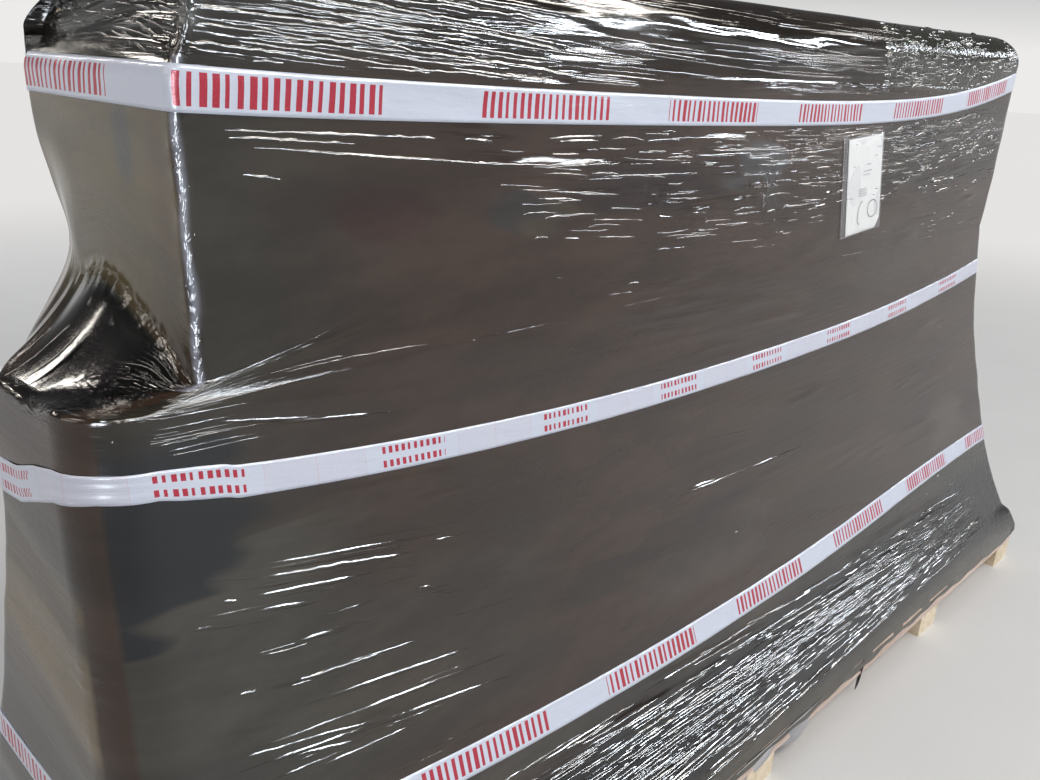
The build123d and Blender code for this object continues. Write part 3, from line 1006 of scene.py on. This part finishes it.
def scatter_pleats(x_range, z_range, count, lengths, widths, steepness, group):
    """Adds loose groups of pleats over a region of the front."""
    made = 0
    while made < count:
        x, z = rng.uniform(*x_range), rng.uniform(*z_range)
        slope = wrap_slope(x, z) + rng.normal(0, 0.015)
        for _ in range(rng.integers(1, group + 1)):
            width = rng.uniform(*widths)
            near_x = x + rng.normal(0, 0.06)
            add_pleat(
                min(max(near_x, x_range[0]), x_range[1]),
                z + slope * (near_x - x) + rng.normal(0, 0.008),
                rng.uniform(*lengths) * rng.uniform(0.5, 1),
                slope + rng.normal(0, 0.012),
                width,
                width * rng.uniform(*steepness),
                rng.normal(0, 0.002),
            )
            made += 1


# The long single pleats of the front, as their two ends and a strength
long_pleats = [
    (-1.29, 0.87, -1.20, 0.842, 1), (-1.25, 0.828, -1.23, 0.820, 2),
    (-1.22, 0.861, -0.90, 0.799, 2), (-1.18, 0.847, -0.97, 0.804, 3), (-1.19, 0.838, -0.95, 0.787, 3),
    (-1.07, 0.846, -0.93, 0.818, 1), (-1.22, 0.833, -1.14, 0.815, 2), (-1.21, 0.818, -1.03, 0.782, 3),
    (-1.03, 0.786, -0.94, 0.764, 1), (-1.18, 0.808, -1.11, 0.793, 2), (-1.28, 0.815, -1.18, 0.795, 2),
    (-1.20, 0.794, -1.12, 0.776, 3), (-1.30, 0.807, -1.23, 0.788, 2), (-1.23, 0.788, -1.18, 0.776, 2),
    (-1.13, 0.753, -1.02, 0.740, 1), (-1.15, 0.731, -1.07, 0.718, 3), (-1.24, 0.695, -1.22, 0.690, 2),
    (-1.15, 0.676, -1.00, 0.653, 3), (-1.16, 0.640, -0.87, 0.598, 3), (-1.23, 0.613, -0.80, 0.555, 3),
    (-1.25, 0.612, -1.05, 0.565, 2), (-1.24, 0.593, -0.80, 0.518, 3), (-1.17, 0.576, -1.07, 0.546, 3),
    (-1.17, 0.547, -0.98, 0.528, 2), (-1.21, 0.561, -1.09, 0.545, 2), (-1.04, 0.476, -0.88, 0.456, 1),
    (-0.96, 0.731, -0.92, 0.723, 2), (-0.95, 0.722, -0.87, 0.711, 1), (-1.19, 1.374, -0.98, 1.364, 3),
    (-1.19, 1.366, -1.03, 1.356, 3), (-1.15, 1.354, -0.62, 1.308, 3), (-0.84, 1.327, -0.67, 1.317, 3),
    (-1.18, 1.332, -1.13, 1.325, 2), (-0.98, 1.364, -0.90, 1.360, 3), (-0.85, 1.357, -0.80, 1.354, 3),
    (-0.68, 1.356, -0.56, 1.357, 2), (-0.66, 1.351, -0.57, 1.350, 2), (-0.63, 1.274, -0.52, 1.265, 2),
    (-0.58, 1.317, -0.52, 1.313, 3), (-0.59, 1.302, -0.52, 1.298, 2), (-0.79, 1.295, -0.69, 1.287, 1),
    (-1.17, 1.117, -1.06, 1.106, 2), (-1.15, 1.108, -1.06, 1.100, 2), (-1.08, 1.104, -0.92, 1.091, 1),
    (-1.25, 1.060, -1.09, 1.026, 2), (-1.20, 1.043, -0.97, 1.006, 2), (-0.30, 0.678, 0.17, 0.659, 3),
    (-0.27, 0.684, -0.16, 0.677, 3), (-0.07, 0.668, 0.12, 0.659, 3), (-0.24, 0.777, -0.01, 0.747, 1),
    (-0.44, 0.903, -0.25, 0.885, 1),
]
for start_x, start_z, end_x, end_z, strength in long_pleats:
    run = end_x - start_x
    add_pleat(
        (start_x + end_x) / 2, (start_z + end_z) / 2, 1.1 * abs(run), (end_z - start_z) / run,
        0.0016 + 0.0009 * strength, 0.0006 * strength + 0.0004,
    )
# Regions of the front: along it, up it, number, lengths, widths, steepness and size of a group
pleated_regions = (
    ((-1.2, -0.75), (1.43, 1.575), 150, (0.12, 0.5), (0.0035, 0.0075), (0.3, 0.6), 4),
    ((-0.85, -0.4), (1.43, 1.575), 60, (0.12, 0.4), (0.0015, 0.003), (0.2, 0.45), 4),
    ((-0.5, 0.45), (1.43, 1.575), 100, (0.15, 0.6), (0.0014, 0.0026), (0.2, 0.45), 4),
    ((0.41, 1.2), (1.445, 1.575), 360, (0.02, 0.07), (0.0024, 0.0048), (0.4, 1.0), 4),
    ((-0.8, 1.2), (1.3, 1.375), 90, (0.05, 0.3), (0.0018, 0.0034), (0.25, 0.5), 3),
    ((-0.7, 0.2), (1.15, 1.375), 110, (0.04, 0.18), (0.0016, 0.003), (0.25, 0.6), 3),
    ((0.1, 1.15), (1.2, 1.39), 300, (0.03, 0.13), (0.002, 0.0046), (0.3, 0.75), 5),
    ((0.3, 1.1), (1.1, 1.22), 60, (0.03, 0.12), (0.0014, 0.0026), (0.2, 0.5), 4),
    ((-0.5, 1.15), (0.95, 1.12), 50, (0.04, 0.15), (0.0014, 0.0024), (0.2, 0.45), 3),
    ((-0.6, 1.1), (0.5, 0.95), 70, (0.04, 0.18), (0.0012, 0.0022), (0.15, 0.4), 3),
    ((0.8, 1.15), (0.5, 0.9), 30, (0.02, 0.08), (0.0014, 0.0024), (0.2, 0.5), 3),
    ((-1.2, -0.8), (0.48, 0.86), 40, (0.06, 0.2), (0.0014, 0.0024), (0.2, 0.5), 3),
    ((0.85, 1.1), (0.17, 0.4), 60, (0.01, 0.05), (0.0012, 0.002), (0.3, 0.6), 4),
)
for region in pleated_regions:
    scatter_pleats(*region)
# The dense band above the hem: many short pleats, and wider ones through its middle
for _ in range(900):
    x = rng.uniform(-1.2, 1.1)
    share = np.clip(rng.normal(0.48, 0.26), 0, 1)
    width = rng.uniform(0.0018, 0.0044)
    length = rng.uniform(0.03, 0.1) + 0.3 * rng.uniform(0, 1) ** 3
    slope = rope_slope(share, 0.02)
    height = width * rng.uniform(0.35, 0.8)
    add_pleat(x, max(rope_height(x, share), 0.11), length, slope, width, height, rng.normal(0, 0.002))
for _ in range(180):
    x = rng.uniform(-1.1, 0.9)
    share = rng.normal(0.45, 0.1)
    width = rng.uniform(0.003, 0.0055)
    length = rng.uniform(0.15, 0.5)
    slope = rope_slope(share, 0.012)
    height = width * rng.uniform(0.4, 0.7)
    add_pleat(x, rope_height(x, share), length, slope, width, height, rng.normal(0, 0.003))

# Near end: creases on the tent, by distance round the load and share of the way up it
rim_v, edge_v = float(profile[rim_row]), float(profile[hem_count + skirt_count])
tent_lines = [
    ((-0.112, 0.62), (-0.118, 0.1), 0.0042), ((-0.125, 0.6), (-0.136, 0.12), 0.003),
    ((-0.152, 0.55), (-0.172, 0.06), 0.0038), ((-0.147, 0.76), (-0.14, 0.72), 0.0035),
    ((-0.105, 0.76), (-0.098, 0.73), 0.004), ((-0.05, 0.62), (-0.038, 0.6), 0.003),
    ((-0.188, 0.5), (-0.196, 0.1), 0.003),
]
for (start_u, start_share), (end_u, end_share), width in tent_lines:
    start = (start_u, blend(edge_v, rim_v, start_share))
    end = (end_u, blend(edge_v, rim_v, end_share))
    add_end_pleat(start, end, width, width * 0.5, rng.normal(0, 0.003))
# A fan on the near end, from the corner at the tent's rim
for _ in range(34):
    spread = rng.uniform(0, 1)
    start_u = rng.uniform(-0.005, 0.006)
    start_v = rim_v - 0.012 * rng.uniform(0, 1) - 0.02 * spread
    length = rng.uniform(0.03, 0.085)
    width = rng.uniform(0.0012, 0.0026)
    height = width * rng.uniform(0.35, 0.7)
    add_crease(start_u, start_v, -length, -length * blend(0.2, 1.0, spread), width, height,
               rng.normal(0, 0.002))
# Small creases along the step's edge, and longer ones that run from it to the front
for _ in range(26):
    add_crease(rng.uniform(-0.17, 0.02), edge_v + rng.normal(0, 0.004), rng.uniform(0.008, 0.05),
               rng.normal(0, 0.004), rng.uniform(0.001, 0.002), 0.0009)
for _ in range(22):
    start_u = rng.uniform(-0.03, 0.02)
    start_v = edge_v - rng.uniform(-0.03, 0.05)
    length = rng.uniform(0.04, 0.16)
    add_crease(start_u, start_v, length, -0.05 * length, rng.uniform(0.001, 0.002), 0.0009,
               rng.normal(0, 0.002))
# Short creases above the top tape
for _ in range(240):
    start_u = rng.uniform(-0.4, -0.02)
    start_v = v_of(rng.uniform(1.455, 1.55))
    length = rng.uniform(0.01, 0.05)
    rise = -0.22 * length + rng.normal(0, 0.005)
    add_crease(start_u, start_v, length, rise, rng.uniform(0.001, 0.0022), 0.0011, rng.normal(0, 0.002))
# The jagged line of the corner above the step, and a short one on the front
for v in np.arange(v_of(1.09), v_of(1.5), 0.0031):
    tilt = rng.normal(0, 0.004)
    start_u = rng.normal(0.0, 0.0018)
    add_crease(start_u, v - 0.004, tilt, 0.008, rng.uniform(0.0016, 0.003), 0.0009, rng.normal(0, 0.0007))
for v in np.arange(v_of(1.215), v_of(1.315), 0.006):
    start_u = u_of(-0.068, 1.26) + rng.normal(0, 0.002)
    add_crease(start_u, v, rng.normal(0, 0.003), 0.008, 0.0016, 0.0009)

# The far end and the rear have the same bands of creases, fewer of them
bands_up = ((1.44, 1.56), (1.15, 1.38), (0.14, 0.33), (0.45, 1.1))
band_shares = (0.35, 0.25, 0.3, 0.1)
far_u, rear_u = column_u[far_start], column_u[rear_start]
for first_u, last_u, count in ((far_u, rear_u, 130), (rear_u, column_u[-1], 420)):
    for _ in range(count):
        z = rng.choice([rng.uniform(*band) for band in bands_up], p=band_shares)
        start = (rng.uniform(first_u, last_u - 0.1), v_of(z))
        length = rng.uniform(0.05, 0.35)
        end = (min(start[0] + length, last_u), start[1] + rng.normal(0, 0.05) * length)
        width = rng.uniform(0.0016, 0.0036)
        add_end_pleat(start, end, width, width * rng.uniform(0.25, 0.6), rng.normal(0, 0.003))


def build_pleats(name, chosen, pleat_stations):
    """Makes one mesh piece of a list of pleats, each with a number of sections along it."""
    data = np.array(chosen)[:, :, None]
    u, v, half_u, half_v, width, height, bend = (data[:, index] for index in range(7))
    along = np.linspace(-1, 1, pleat_stations)[None]
    taper = np.clip(1 - along**2, 0.0, 1) ** 0.6
    wobble = rng.normal(0, 0.12, (len(chosen), pleat_stations)) * width
    uneven = rng.uniform(0.75, 1.15, (len(chosen), pleat_stations))
    size = np.hypot(half_u, half_v)
    across_u, across_v = -half_v / size, half_u / size
    sway = bend * along**2 + wobble
    spread = (width * (0.35 + 0.65 * taper))[:, :, None] * profile_across
    grid_u = (u + along * half_u + sway * across_u)[:, :, None] + spread * across_u[:, :, None]
    grid_v = (v + along * half_v + sway * across_v)[:, :, None] + spread * across_v[:, :, None]
    free = 1 - sample(pressed_film, grid_u, grid_v)
    raised = (height * taper * uneven)[:, :, None] * profile_raise * free - 0.0002 - 0.0012 * (1 - free)
    points = sample(film, grid_u, grid_v) + sample(film_normals, grid_u, grid_v) * raised[..., None]
    strip = quad_faces(grid_u[0]).reshape(-1, 4)[:, ::-1]
    starts = np.arange(len(chosen)) * grid_u[0].size
    faces = strip + starts[:, None, None]
    tints = sample(values["tint"], grid_u, grid_v).reshape(-1, 3)
    plain = np.full(len(tints), 0.05)
    looks = {"streak": plain, "crinkle": plain, "tint": tints}
    add_piece(name, points, faces, film_look, [], pairs(grid_u, grid_v), looks)


film_normals = np.concatenate([normals[:1], grid_normals(film[1:])])
pressed_film = with_hem(pressed)
middle_v = v_of(0.93)
long_half = 0.07
for size, is_long, stations in (("long", True, 16), ("short", False, 8)):
    of_size = [pleat for pleat in pleats if (np.hypot(pleat[2], pleat[3]) >= long_half) == is_long]
    for place, is_upper in (("upper", True), ("lower", False)):
        chosen = [pleat for pleat in of_size if (pleat[1] >= middle_v) == is_upper]
        build_pleats(f"pleats_{size}_{place}", chosen, stations)
# The band above the hem mirrors a tube of its own, which lights nothing else
link_lamps(["tube_low"], ["film_skirt", "pleats_long_lower", "pleats_short_lower"], "INCLUDE")


# Tape
def tape_material(name, two_rows):
    """White glossy tape with groups of plain upright red bars along it."""
    material, tree = new_material(name)
    calc = partial(math_node, tree)
    surface = on_surface(tree)
    place = add_node(tree, "SeparateXYZ", {0: surface}).outputs
    along, across = place["X"], place["Y"]
    period, group, bar_pitch = (0.3163, 0.36, 0.011) if two_rows else (0.43, 0.635, 0.0145)
    share = calc("FRACT", calc("DIVIDE", along, period))
    in_group = calc("LESS_THAN", share, group)
    bar = calc("DIVIDE", along, bar_pitch)
    index = calc("FLOOR", bar)
    draw = add_node(tree, "TexWhiteNoise", {"W": index}, noise_dimensions="1D").outputs[0]
    width = calc("MULTIPLY_ADD", draw, 0.3, 0.35)
    in_bar = calc("LESS_THAN", calc("FRACT", bar), width)
    from_middle = calc("ABSOLUTE", calc("SUBTRACT", across, 0.5))
    in_rows = calc("LESS_THAN", from_middle, 0.36)
    if two_rows:
        in_rows = calc("MULTIPLY", calc("GREATER_THAN", from_middle, 0.12), in_rows)
    ink = calc("MULTIPLY", in_group, calc("MULTIPLY", in_bar, in_rows))
    wear = noise(tree, surface, 260, 3, 0.6)
    ink = calc("MULTIPLY", ink, ramp(tree, wear, 0.3, 0.45, 0.75, 1.0))
    paper = mix_colors(tree, wear, (0.62, 0.66, 0.77, 1), (0.69, 0.73, 0.85, 1))
    if two_rows:
        fine_print = noise(tree, stretched(tree, surface, (900, 22, 1)), 1.0, 2)
        in_panel = calc("GREATER_THAN", share, 0.44)
        in_panel = calc("MULTIPLY", in_panel, calc("LESS_THAN", share, 0.92))
        for line_share in (0.44, 0.68, 0.92):
            off_line = calc("ABSOLUTE", calc("SUBTRACT", share, line_share))
            fine_print = calc("ADD", fine_print, calc("LESS_THAN", off_line, 0.003))
        fine_print = calc("MULTIPLY", ramp(tree, fine_print, 0.5, 0.62, 0.0, 0.3), in_panel)
        paper = mix_colors(tree, fine_print, paper, (0.62, 0.35, 0.4, 1))
    color = mix_colors(tree, ink, paper, (0.46, 0.012, 0.04, 1))
    crease = noise(tree, stretched(tree, surface, (14, 3, 1)), 1.0, 4, 0.6)
    normal = bumped(tree, crease, 0.003, strength=0.5)
    principled(tree, Base_Color=color, Roughness=0.28, IOR=1.45, Normal=normal)
    return material


def crumple(name, across):
    """The tape's own small waves, in millimetres, with pleats where the middle one turns."""
    up = across[:, None]
    waves = 0.35 + 0.35 * np.sin(column_u * 37 + up * 2) * np.sin(column_u * 11)
    if name == "middle":
        folds = np.sin(up * 9 + 14 * column_u) + 0.7 * np.sin(up * 17 - 25 * column_u)
        waves = waves + bell(column_u, -0.06, 0.08) * (0.9 + 0.8 * folds)
    return waves


def add_tape(name, material, phase):
    """A tape band laid over the film, with its first print a distance past the corner."""
    tape_rise, edge_drop = 0.0009, 0.0012
    across = np.linspace(-1, 1, 11)
    grid = np.zeros((len(across) + 2, column_count, 3))
    below_top = slice(0, row_count - crown_count - 30)
    calm_film = (base + normals * calm[:, :, None])[below_top]
    for column in range(column_count):
        z = calm_film[:, column, 2]
        wanted = tapes[name][column] + across * tape_widths[name][column]
        for axis in range(3):
            surface = np.interp(wanted, z, calm_film[:, column, axis])
            lift = np.interp(wanted, z, normals[below_top, column, axis])
            grid[1:-1, column, axis] = surface + tape_rise * lift
    normal = grid_normals(grid[1:-1])
    grid[1:-1] += normal * (crumple(name, across) * 0.001)[:, :, None]
    grid[0] = grid[1] - normal[0] * edge_drop
    grid[-1] = grid[-2] - normal[-1] * edge_drop
    mid = grid[len(grid) // 2]
    lengths = np.concatenate([[0], np.cumsum(np.linalg.norm(np.diff(mid, axis=0), axis=1))])
    lengths -= lengths[front_start] + phase
    v = np.concatenate([[0], (across + 1) / 2, [1]])
    add_piece(
        name + "_tape", grid, quad_faces(grid, closed=True), material, ["tape_band_" + name],
        pairs(lengths, v[:, None]),
    )


big_print = tape_material("tape_print", False)
small_print = tape_material("tape_small_print", True)
add_tape("top", big_print, -0.014)
add_tape("middle", small_print, -0.004)
add_tape("bottom", big_print, -0.107)


# Document pouch and delivery sheet
def flat_frame(node_name):
    """The centre, sides and half sizes of a thin flat node."""
    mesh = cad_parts[node_name].data
    corners = np.array([vertex.co for vertex in mesh.vertices])
    middle = (corners.min(axis=0) + corners.max(axis=0)) / 2
    polygons = sorted(mesh.polygons, key=lambda polygon: -polygon.area)
    outward = np.array(polygons[0].normal)
    outward *= -np.sign(outward[1])
    edges = [corners[edge.vertices[1]] - corners[edge.vertices[0]] for edge in mesh.edges]
    edges = [edge for edge in edges if np.linalg.norm(edge) > 0.1]
    upright = max(edges, key=lambda edge: abs(edge[2]) / np.linalg.norm(edge))
    upright = upright / np.linalg.norm(upright) * np.sign(upright[2])
    right = np.cross(upright, outward)
    right *= np.sign(right[0])
    middle = middle + outward * ((corners - middle) @ outward).max()
    halves = [np.abs((corners - middle) @ side).max() for side in (right, upright)]
    return middle, right, upright, outward, halves


def clear_material():
    """Wrinkled clear film, a little milky grey, with more of the grey where its folds turn from the view,
    as a painted sheen.
    """
    material, tree = new_material("clear_pouch")
    surface = on_surface(tree)
    crease = noise(tree, surface, 38, 4, 0.6, distortion=0.8)
    normal = bumped(tree, crease, 0.002, strength=0.7)
    milky_sheen = add_node(tree, "LayerWeight", {"Blend": 0.25, "Normal": normal}).outputs["Facing"]
    alpha = ramp(tree, milky_sheen, 0.1, 0.9, 0.07, 0.4)
    principled(tree, Base_Color=(0.62, 0.63, 0.66, 1), Roughness=0.12, Alpha=alpha, Normal=normal)
    return material


def paper_material():
    """White office paper, a little shaded and creased."""
    material, tree = new_material("white_paper")
    surface = on_surface(tree)
    tone = noise(tree, surface, 16, 4, 0.6)
    color = mix_colors(tree, tone, (0.84, 0.84, 0.83, 1), (0.92, 0.92, 0.9, 1))
    principled(tree, Base_Color=color, Roughness=0.45, Normal=bumped(tree, tone, 0.002, strength=0.4))
    return material


def ink_material(name, color):
    """Plain ink or pencil with a slightly uneven tone."""
    material, tree = new_material(name)
    place = add_node(tree, "TexCoord").outputs["Object"]
    tone = noise(tree, place, 400, 2)
    shade = mix_colors(tree, tone, color, tuple(1.8 * value for value in color[:3]) + (1,))
    principled(tree, Base_Color=shade, Roughness=0.5)
    return material


def add_flat(name, node_names, material, place, halves, rise, depth, cut=0.0):
    """A thin sheet with gentle waves, a rim, and one cut lower corner."""
    middle, right, upright, outward = place
    across = np.linspace(-halves[0], halves[0], 41)
    up = np.linspace(-halves[1], halves[1], 45)
    grid_x, grid_z = np.meshgrid(across, up)
    over = np.maximum(0, (grid_x - grid_z) - (halves[0] + halves[1] - cut))
    inside_x, inside_z = grid_x - over * (grid_x > 0) / 2, grid_z + over * (grid_z < 0) / 2
    from_edge = np.minimum(1 - np.abs(grid_x) / halves[0], 1 - np.abs(grid_z) / halves[1])
    wave = np.sin(31 * inside_x + 11 * inside_z) * np.sin(23 * inside_z - 17 * inside_x + 1)
    level = (rise + np.minimum(1, 14 * from_edge) * depth * (1 + wave))[..., None]
    front = middle + inside_x[..., None] * right + inside_z[..., None] * upright + level * outward
    back = front - outward * (level - rise + 0.0003)
    count = front.shape[0] * front.shape[1]
    faces = quad_faces(front).reshape(-1, 4)
    index = np.arange(count).reshape(front.shape[:2])
    loop = np.concatenate([index[0], index[1:, -1], index[-1, -2::-1], index[-2:0:-1, 0]])
    following = np.roll(loop, -1)
    rim = np.stack([following, loop, loop + count, following + count], axis=1)
    faces = np.concatenate([faces, faces[:, ::-1] + count, rim])
    uvs = [pairs(inside_x, inside_z)] * 2
    add_piece(name, [front, back], faces, material, node_names, uvs)


def add_stroke(name, material, path, width):
    """A thin pen stroke on the sheet, along a path in millimetres."""
    rise = 0.001
    middle, right, upright, outward = sheet_place
    path = np.array(path, float) * 0.001
    step = np.gradient(path, axis=0)
    side = pairs(-step[:, 1], step[:, 0]) / np.linalg.norm(step, axis=1)[:, None]
    lines = [path - side * width / 2, path + side * width / 2]
    points = [middle + line[:, :1] * right + line[:, 1:] * upright + rise * outward for line in lines]
    total = len(path)
    faces = [(i, i + 1, i + 1 + total, i + total) for i in range(total - 1)]
    add_piece(name, points, faces, material, [])


*pouch_place, pouch_halves = flat_frame("document_pouch")
*sheet_place, sheet_halves = flat_frame("delivery_sheet")
add_flat("paper_in_pouch", ["delivery_sheet"], paper_material(),
         sheet_place, sheet_halves, -0.0004, 0.0004, cut=0.022)
add_flat("pouch_skin", ["document_pouch"], clear_material(),
         pouch_place, pouch_halves, 0.0009, 0.0005)
pen = ink_material("pen_ink", (0.03, 0.03, 0.035, 1))
faint = ink_material("faint_ink", (0.3, 0.3, 0.32, 1))
pen_width, faint_width = 0.0016, 0.0022
turn = np.linspace(0, 2 * pi, 40)
ring = pairs(42 + 24 * np.cos(turn), -58 + 19 * np.sin(turn))
add_stroke("pen_ring", pen, ring, pen_width)
sweep = np.linspace(0, 1, 30)
hook = pairs(-8 - 22 * np.sin(2.6 * sweep), -36 - 54 * sweep + 6 * np.sin(7 * sweep))
add_stroke("pen_sweep", pen, hook, pen_width)
# Faint lines in the place of print: left end, height and length in millimetres
faint_lines = [
    (-10, 30, 40), (-10, 22, 32), (4, 44, 22), (-28, -8, 38), (-28, -13, 38),
    (-28, -18, 38), (-28, -23, 38), (52, 78, 22), (44, 60, 12),
]
for number, (x, z, length) in enumerate(faint_lines):
    path = [(x + length * share, z) for share in (0, 0.5, 1)]
    add_stroke(f"faint_line_{number}", faint, path, faint_width)


# A loose flap of film below the hem, and a shred that hangs beside it
def add_rag(name, first_x, last_x, lowest, waves, tint):
    """A hanging piece of film from the hem, with a ragged lower edge."""
    share_x, share_z = np.linspace(0, 1, 31), np.linspace(0, 1, 9)
    row = int(np.argmin(np.abs(heights[:, mid_column] - 0.1)))
    x = blend(first_x, last_x, share_x)
    rounded = np.sin(pi * np.clip(share_x, 0.04, 0.96)) ** 0.35
    drop = lowest * (0.75 + 0.25 * np.sin(waves * share_x + 1)) * rounded
    top_y = float(base_y[row, mid_column]) - 0.0035
    down = share_z[:, None]
    grid = np.zeros((len(share_z), len(share_x), 3))
    grid[..., 0] = x + 0.004 * np.sin(5 * down)
    grid[..., 1] = top_y + 0.003 * down * (1 + np.sin(waves * 1.7 * share_x))
    grid[..., 2] = 0.098 - down * (drop + 0.012)
    plain = np.full(share_x.size * share_z.size, 0.1)
    looks = {"streak": plain, "crinkle": plain, "tint": np.tile(tint, (len(plain), 1))}
    uvs = pairs(x, 0.06 * down)
    add_piece(name, grid, quad_faces(grid), film_look, [], uvs, looks)


add_rag("loose_flap", -0.25, 0.13, 0.055, 9, (0.4, 0.4, 0.43))
add_rag("hanging_shred", 0.32, 0.336, 0.078, 3, (0.01, 0.01, 0.01))


# Wood
def wood_material(name, light, dark, axis):
    """Rough sawn wood with its grain along one axis."""
    material, tree = new_material(name)
    place = add_node(tree, "TexCoord").outputs["Object"]
    scale = [60, 60, 60]
    scale[axis] = 3
    grain = noise(tree, stretched(tree, place, scale), 1.0, 5, 0.65, distortion=0.6)
    stain = noise(tree, place, 6, 3)
    color = mix_colors(tree, ramp(tree, grain, 0.3, 0.7), dark, light)
    color = mix_colors(tree, ramp(tree, stain, 0.4, 0.7, 0, 0.35), color, dark)
    normal = bumped(tree, grain, 0.002, strength=0.6)
    principled(tree, Base_Color=color, Roughness=0.8, Normal=normal)
    return material


bearer_wood = wood_material("bearer_wood", (0.7, 0.54, 0.46, 1), (0.48, 0.34, 0.27, 1), 0)
deck_wood = wood_material("deck_wood", (0.66, 0.50, 0.40, 1), (0.42, 0.29, 0.21, 1), 1)
block_wood = wood_material("block_wood", (0.82, 0.72, 0.55, 1), (0.62, 0.48, 0.3, 1), 1)
carton_board = wood_material("carton_board", (0.46, 0.33, 0.21, 1), (0.36, 0.25, 0.15, 1), 2)
node_looks = {
    "foot_block": block_wood, "bearer": bearer_wood, "deck_board": deck_wood,
    "lower_tier": carton_board, "middle_tier": carton_board, "upper_tier": carton_board,
}
for node_name, node_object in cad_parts.items():
    for start, look in node_looks.items():
        if node_name.startswith(start):
            node_object.data.materials.clear()
            node_object.data.materials.append(look)


def add_core():
    """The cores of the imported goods, a little inside the film, with soft edges."""
    left, lower_front, upper_front = upper_left + 0.03, -lower_half + 0.016, -upper_half + 0.025
    boxes = (
        ((lower_left + 0.042, lower_front, deck_top), (upper_left + 0.035, 0, lower_top - 0.045)),
        ((upper_left + 0.034, -lower_half + 0.004, deck_top), (lower_right, lower_half, lower_top - 0.05)),
        ((left, -upper_half, lower_top), (lower_right, upper_half - 0.03, upper_base)),
        ((left, upper_front, upper_base), (upper_right - 0.025, upper_half - 0.03, 1.5)),
    )
    points, faces = [], []
    for box in boxes:
        start = len(points)
        points += product(*zip(*box))
        sides = ((0, 1, 3, 2), (4, 6, 7, 5), (0, 4, 5, 1), (2, 3, 7, 6), (0, 2, 6, 4), (1, 5, 7, 3))
        faces += [[start + index for index in side] for side in sides]
    tiers = ["lower_tier", "middle_tier", "upper_tier"]
    core = add_piece("packed_goods", points, faces, carton_board, tiers)
    core.data.polygons.foreach_set("use_smooth", np.zeros(len(faces), bool))
    bevel = core.modifiers.new("bevel", "BEVEL")
    bevel.width = 0.012
    bevel.segments = 3


add_core()
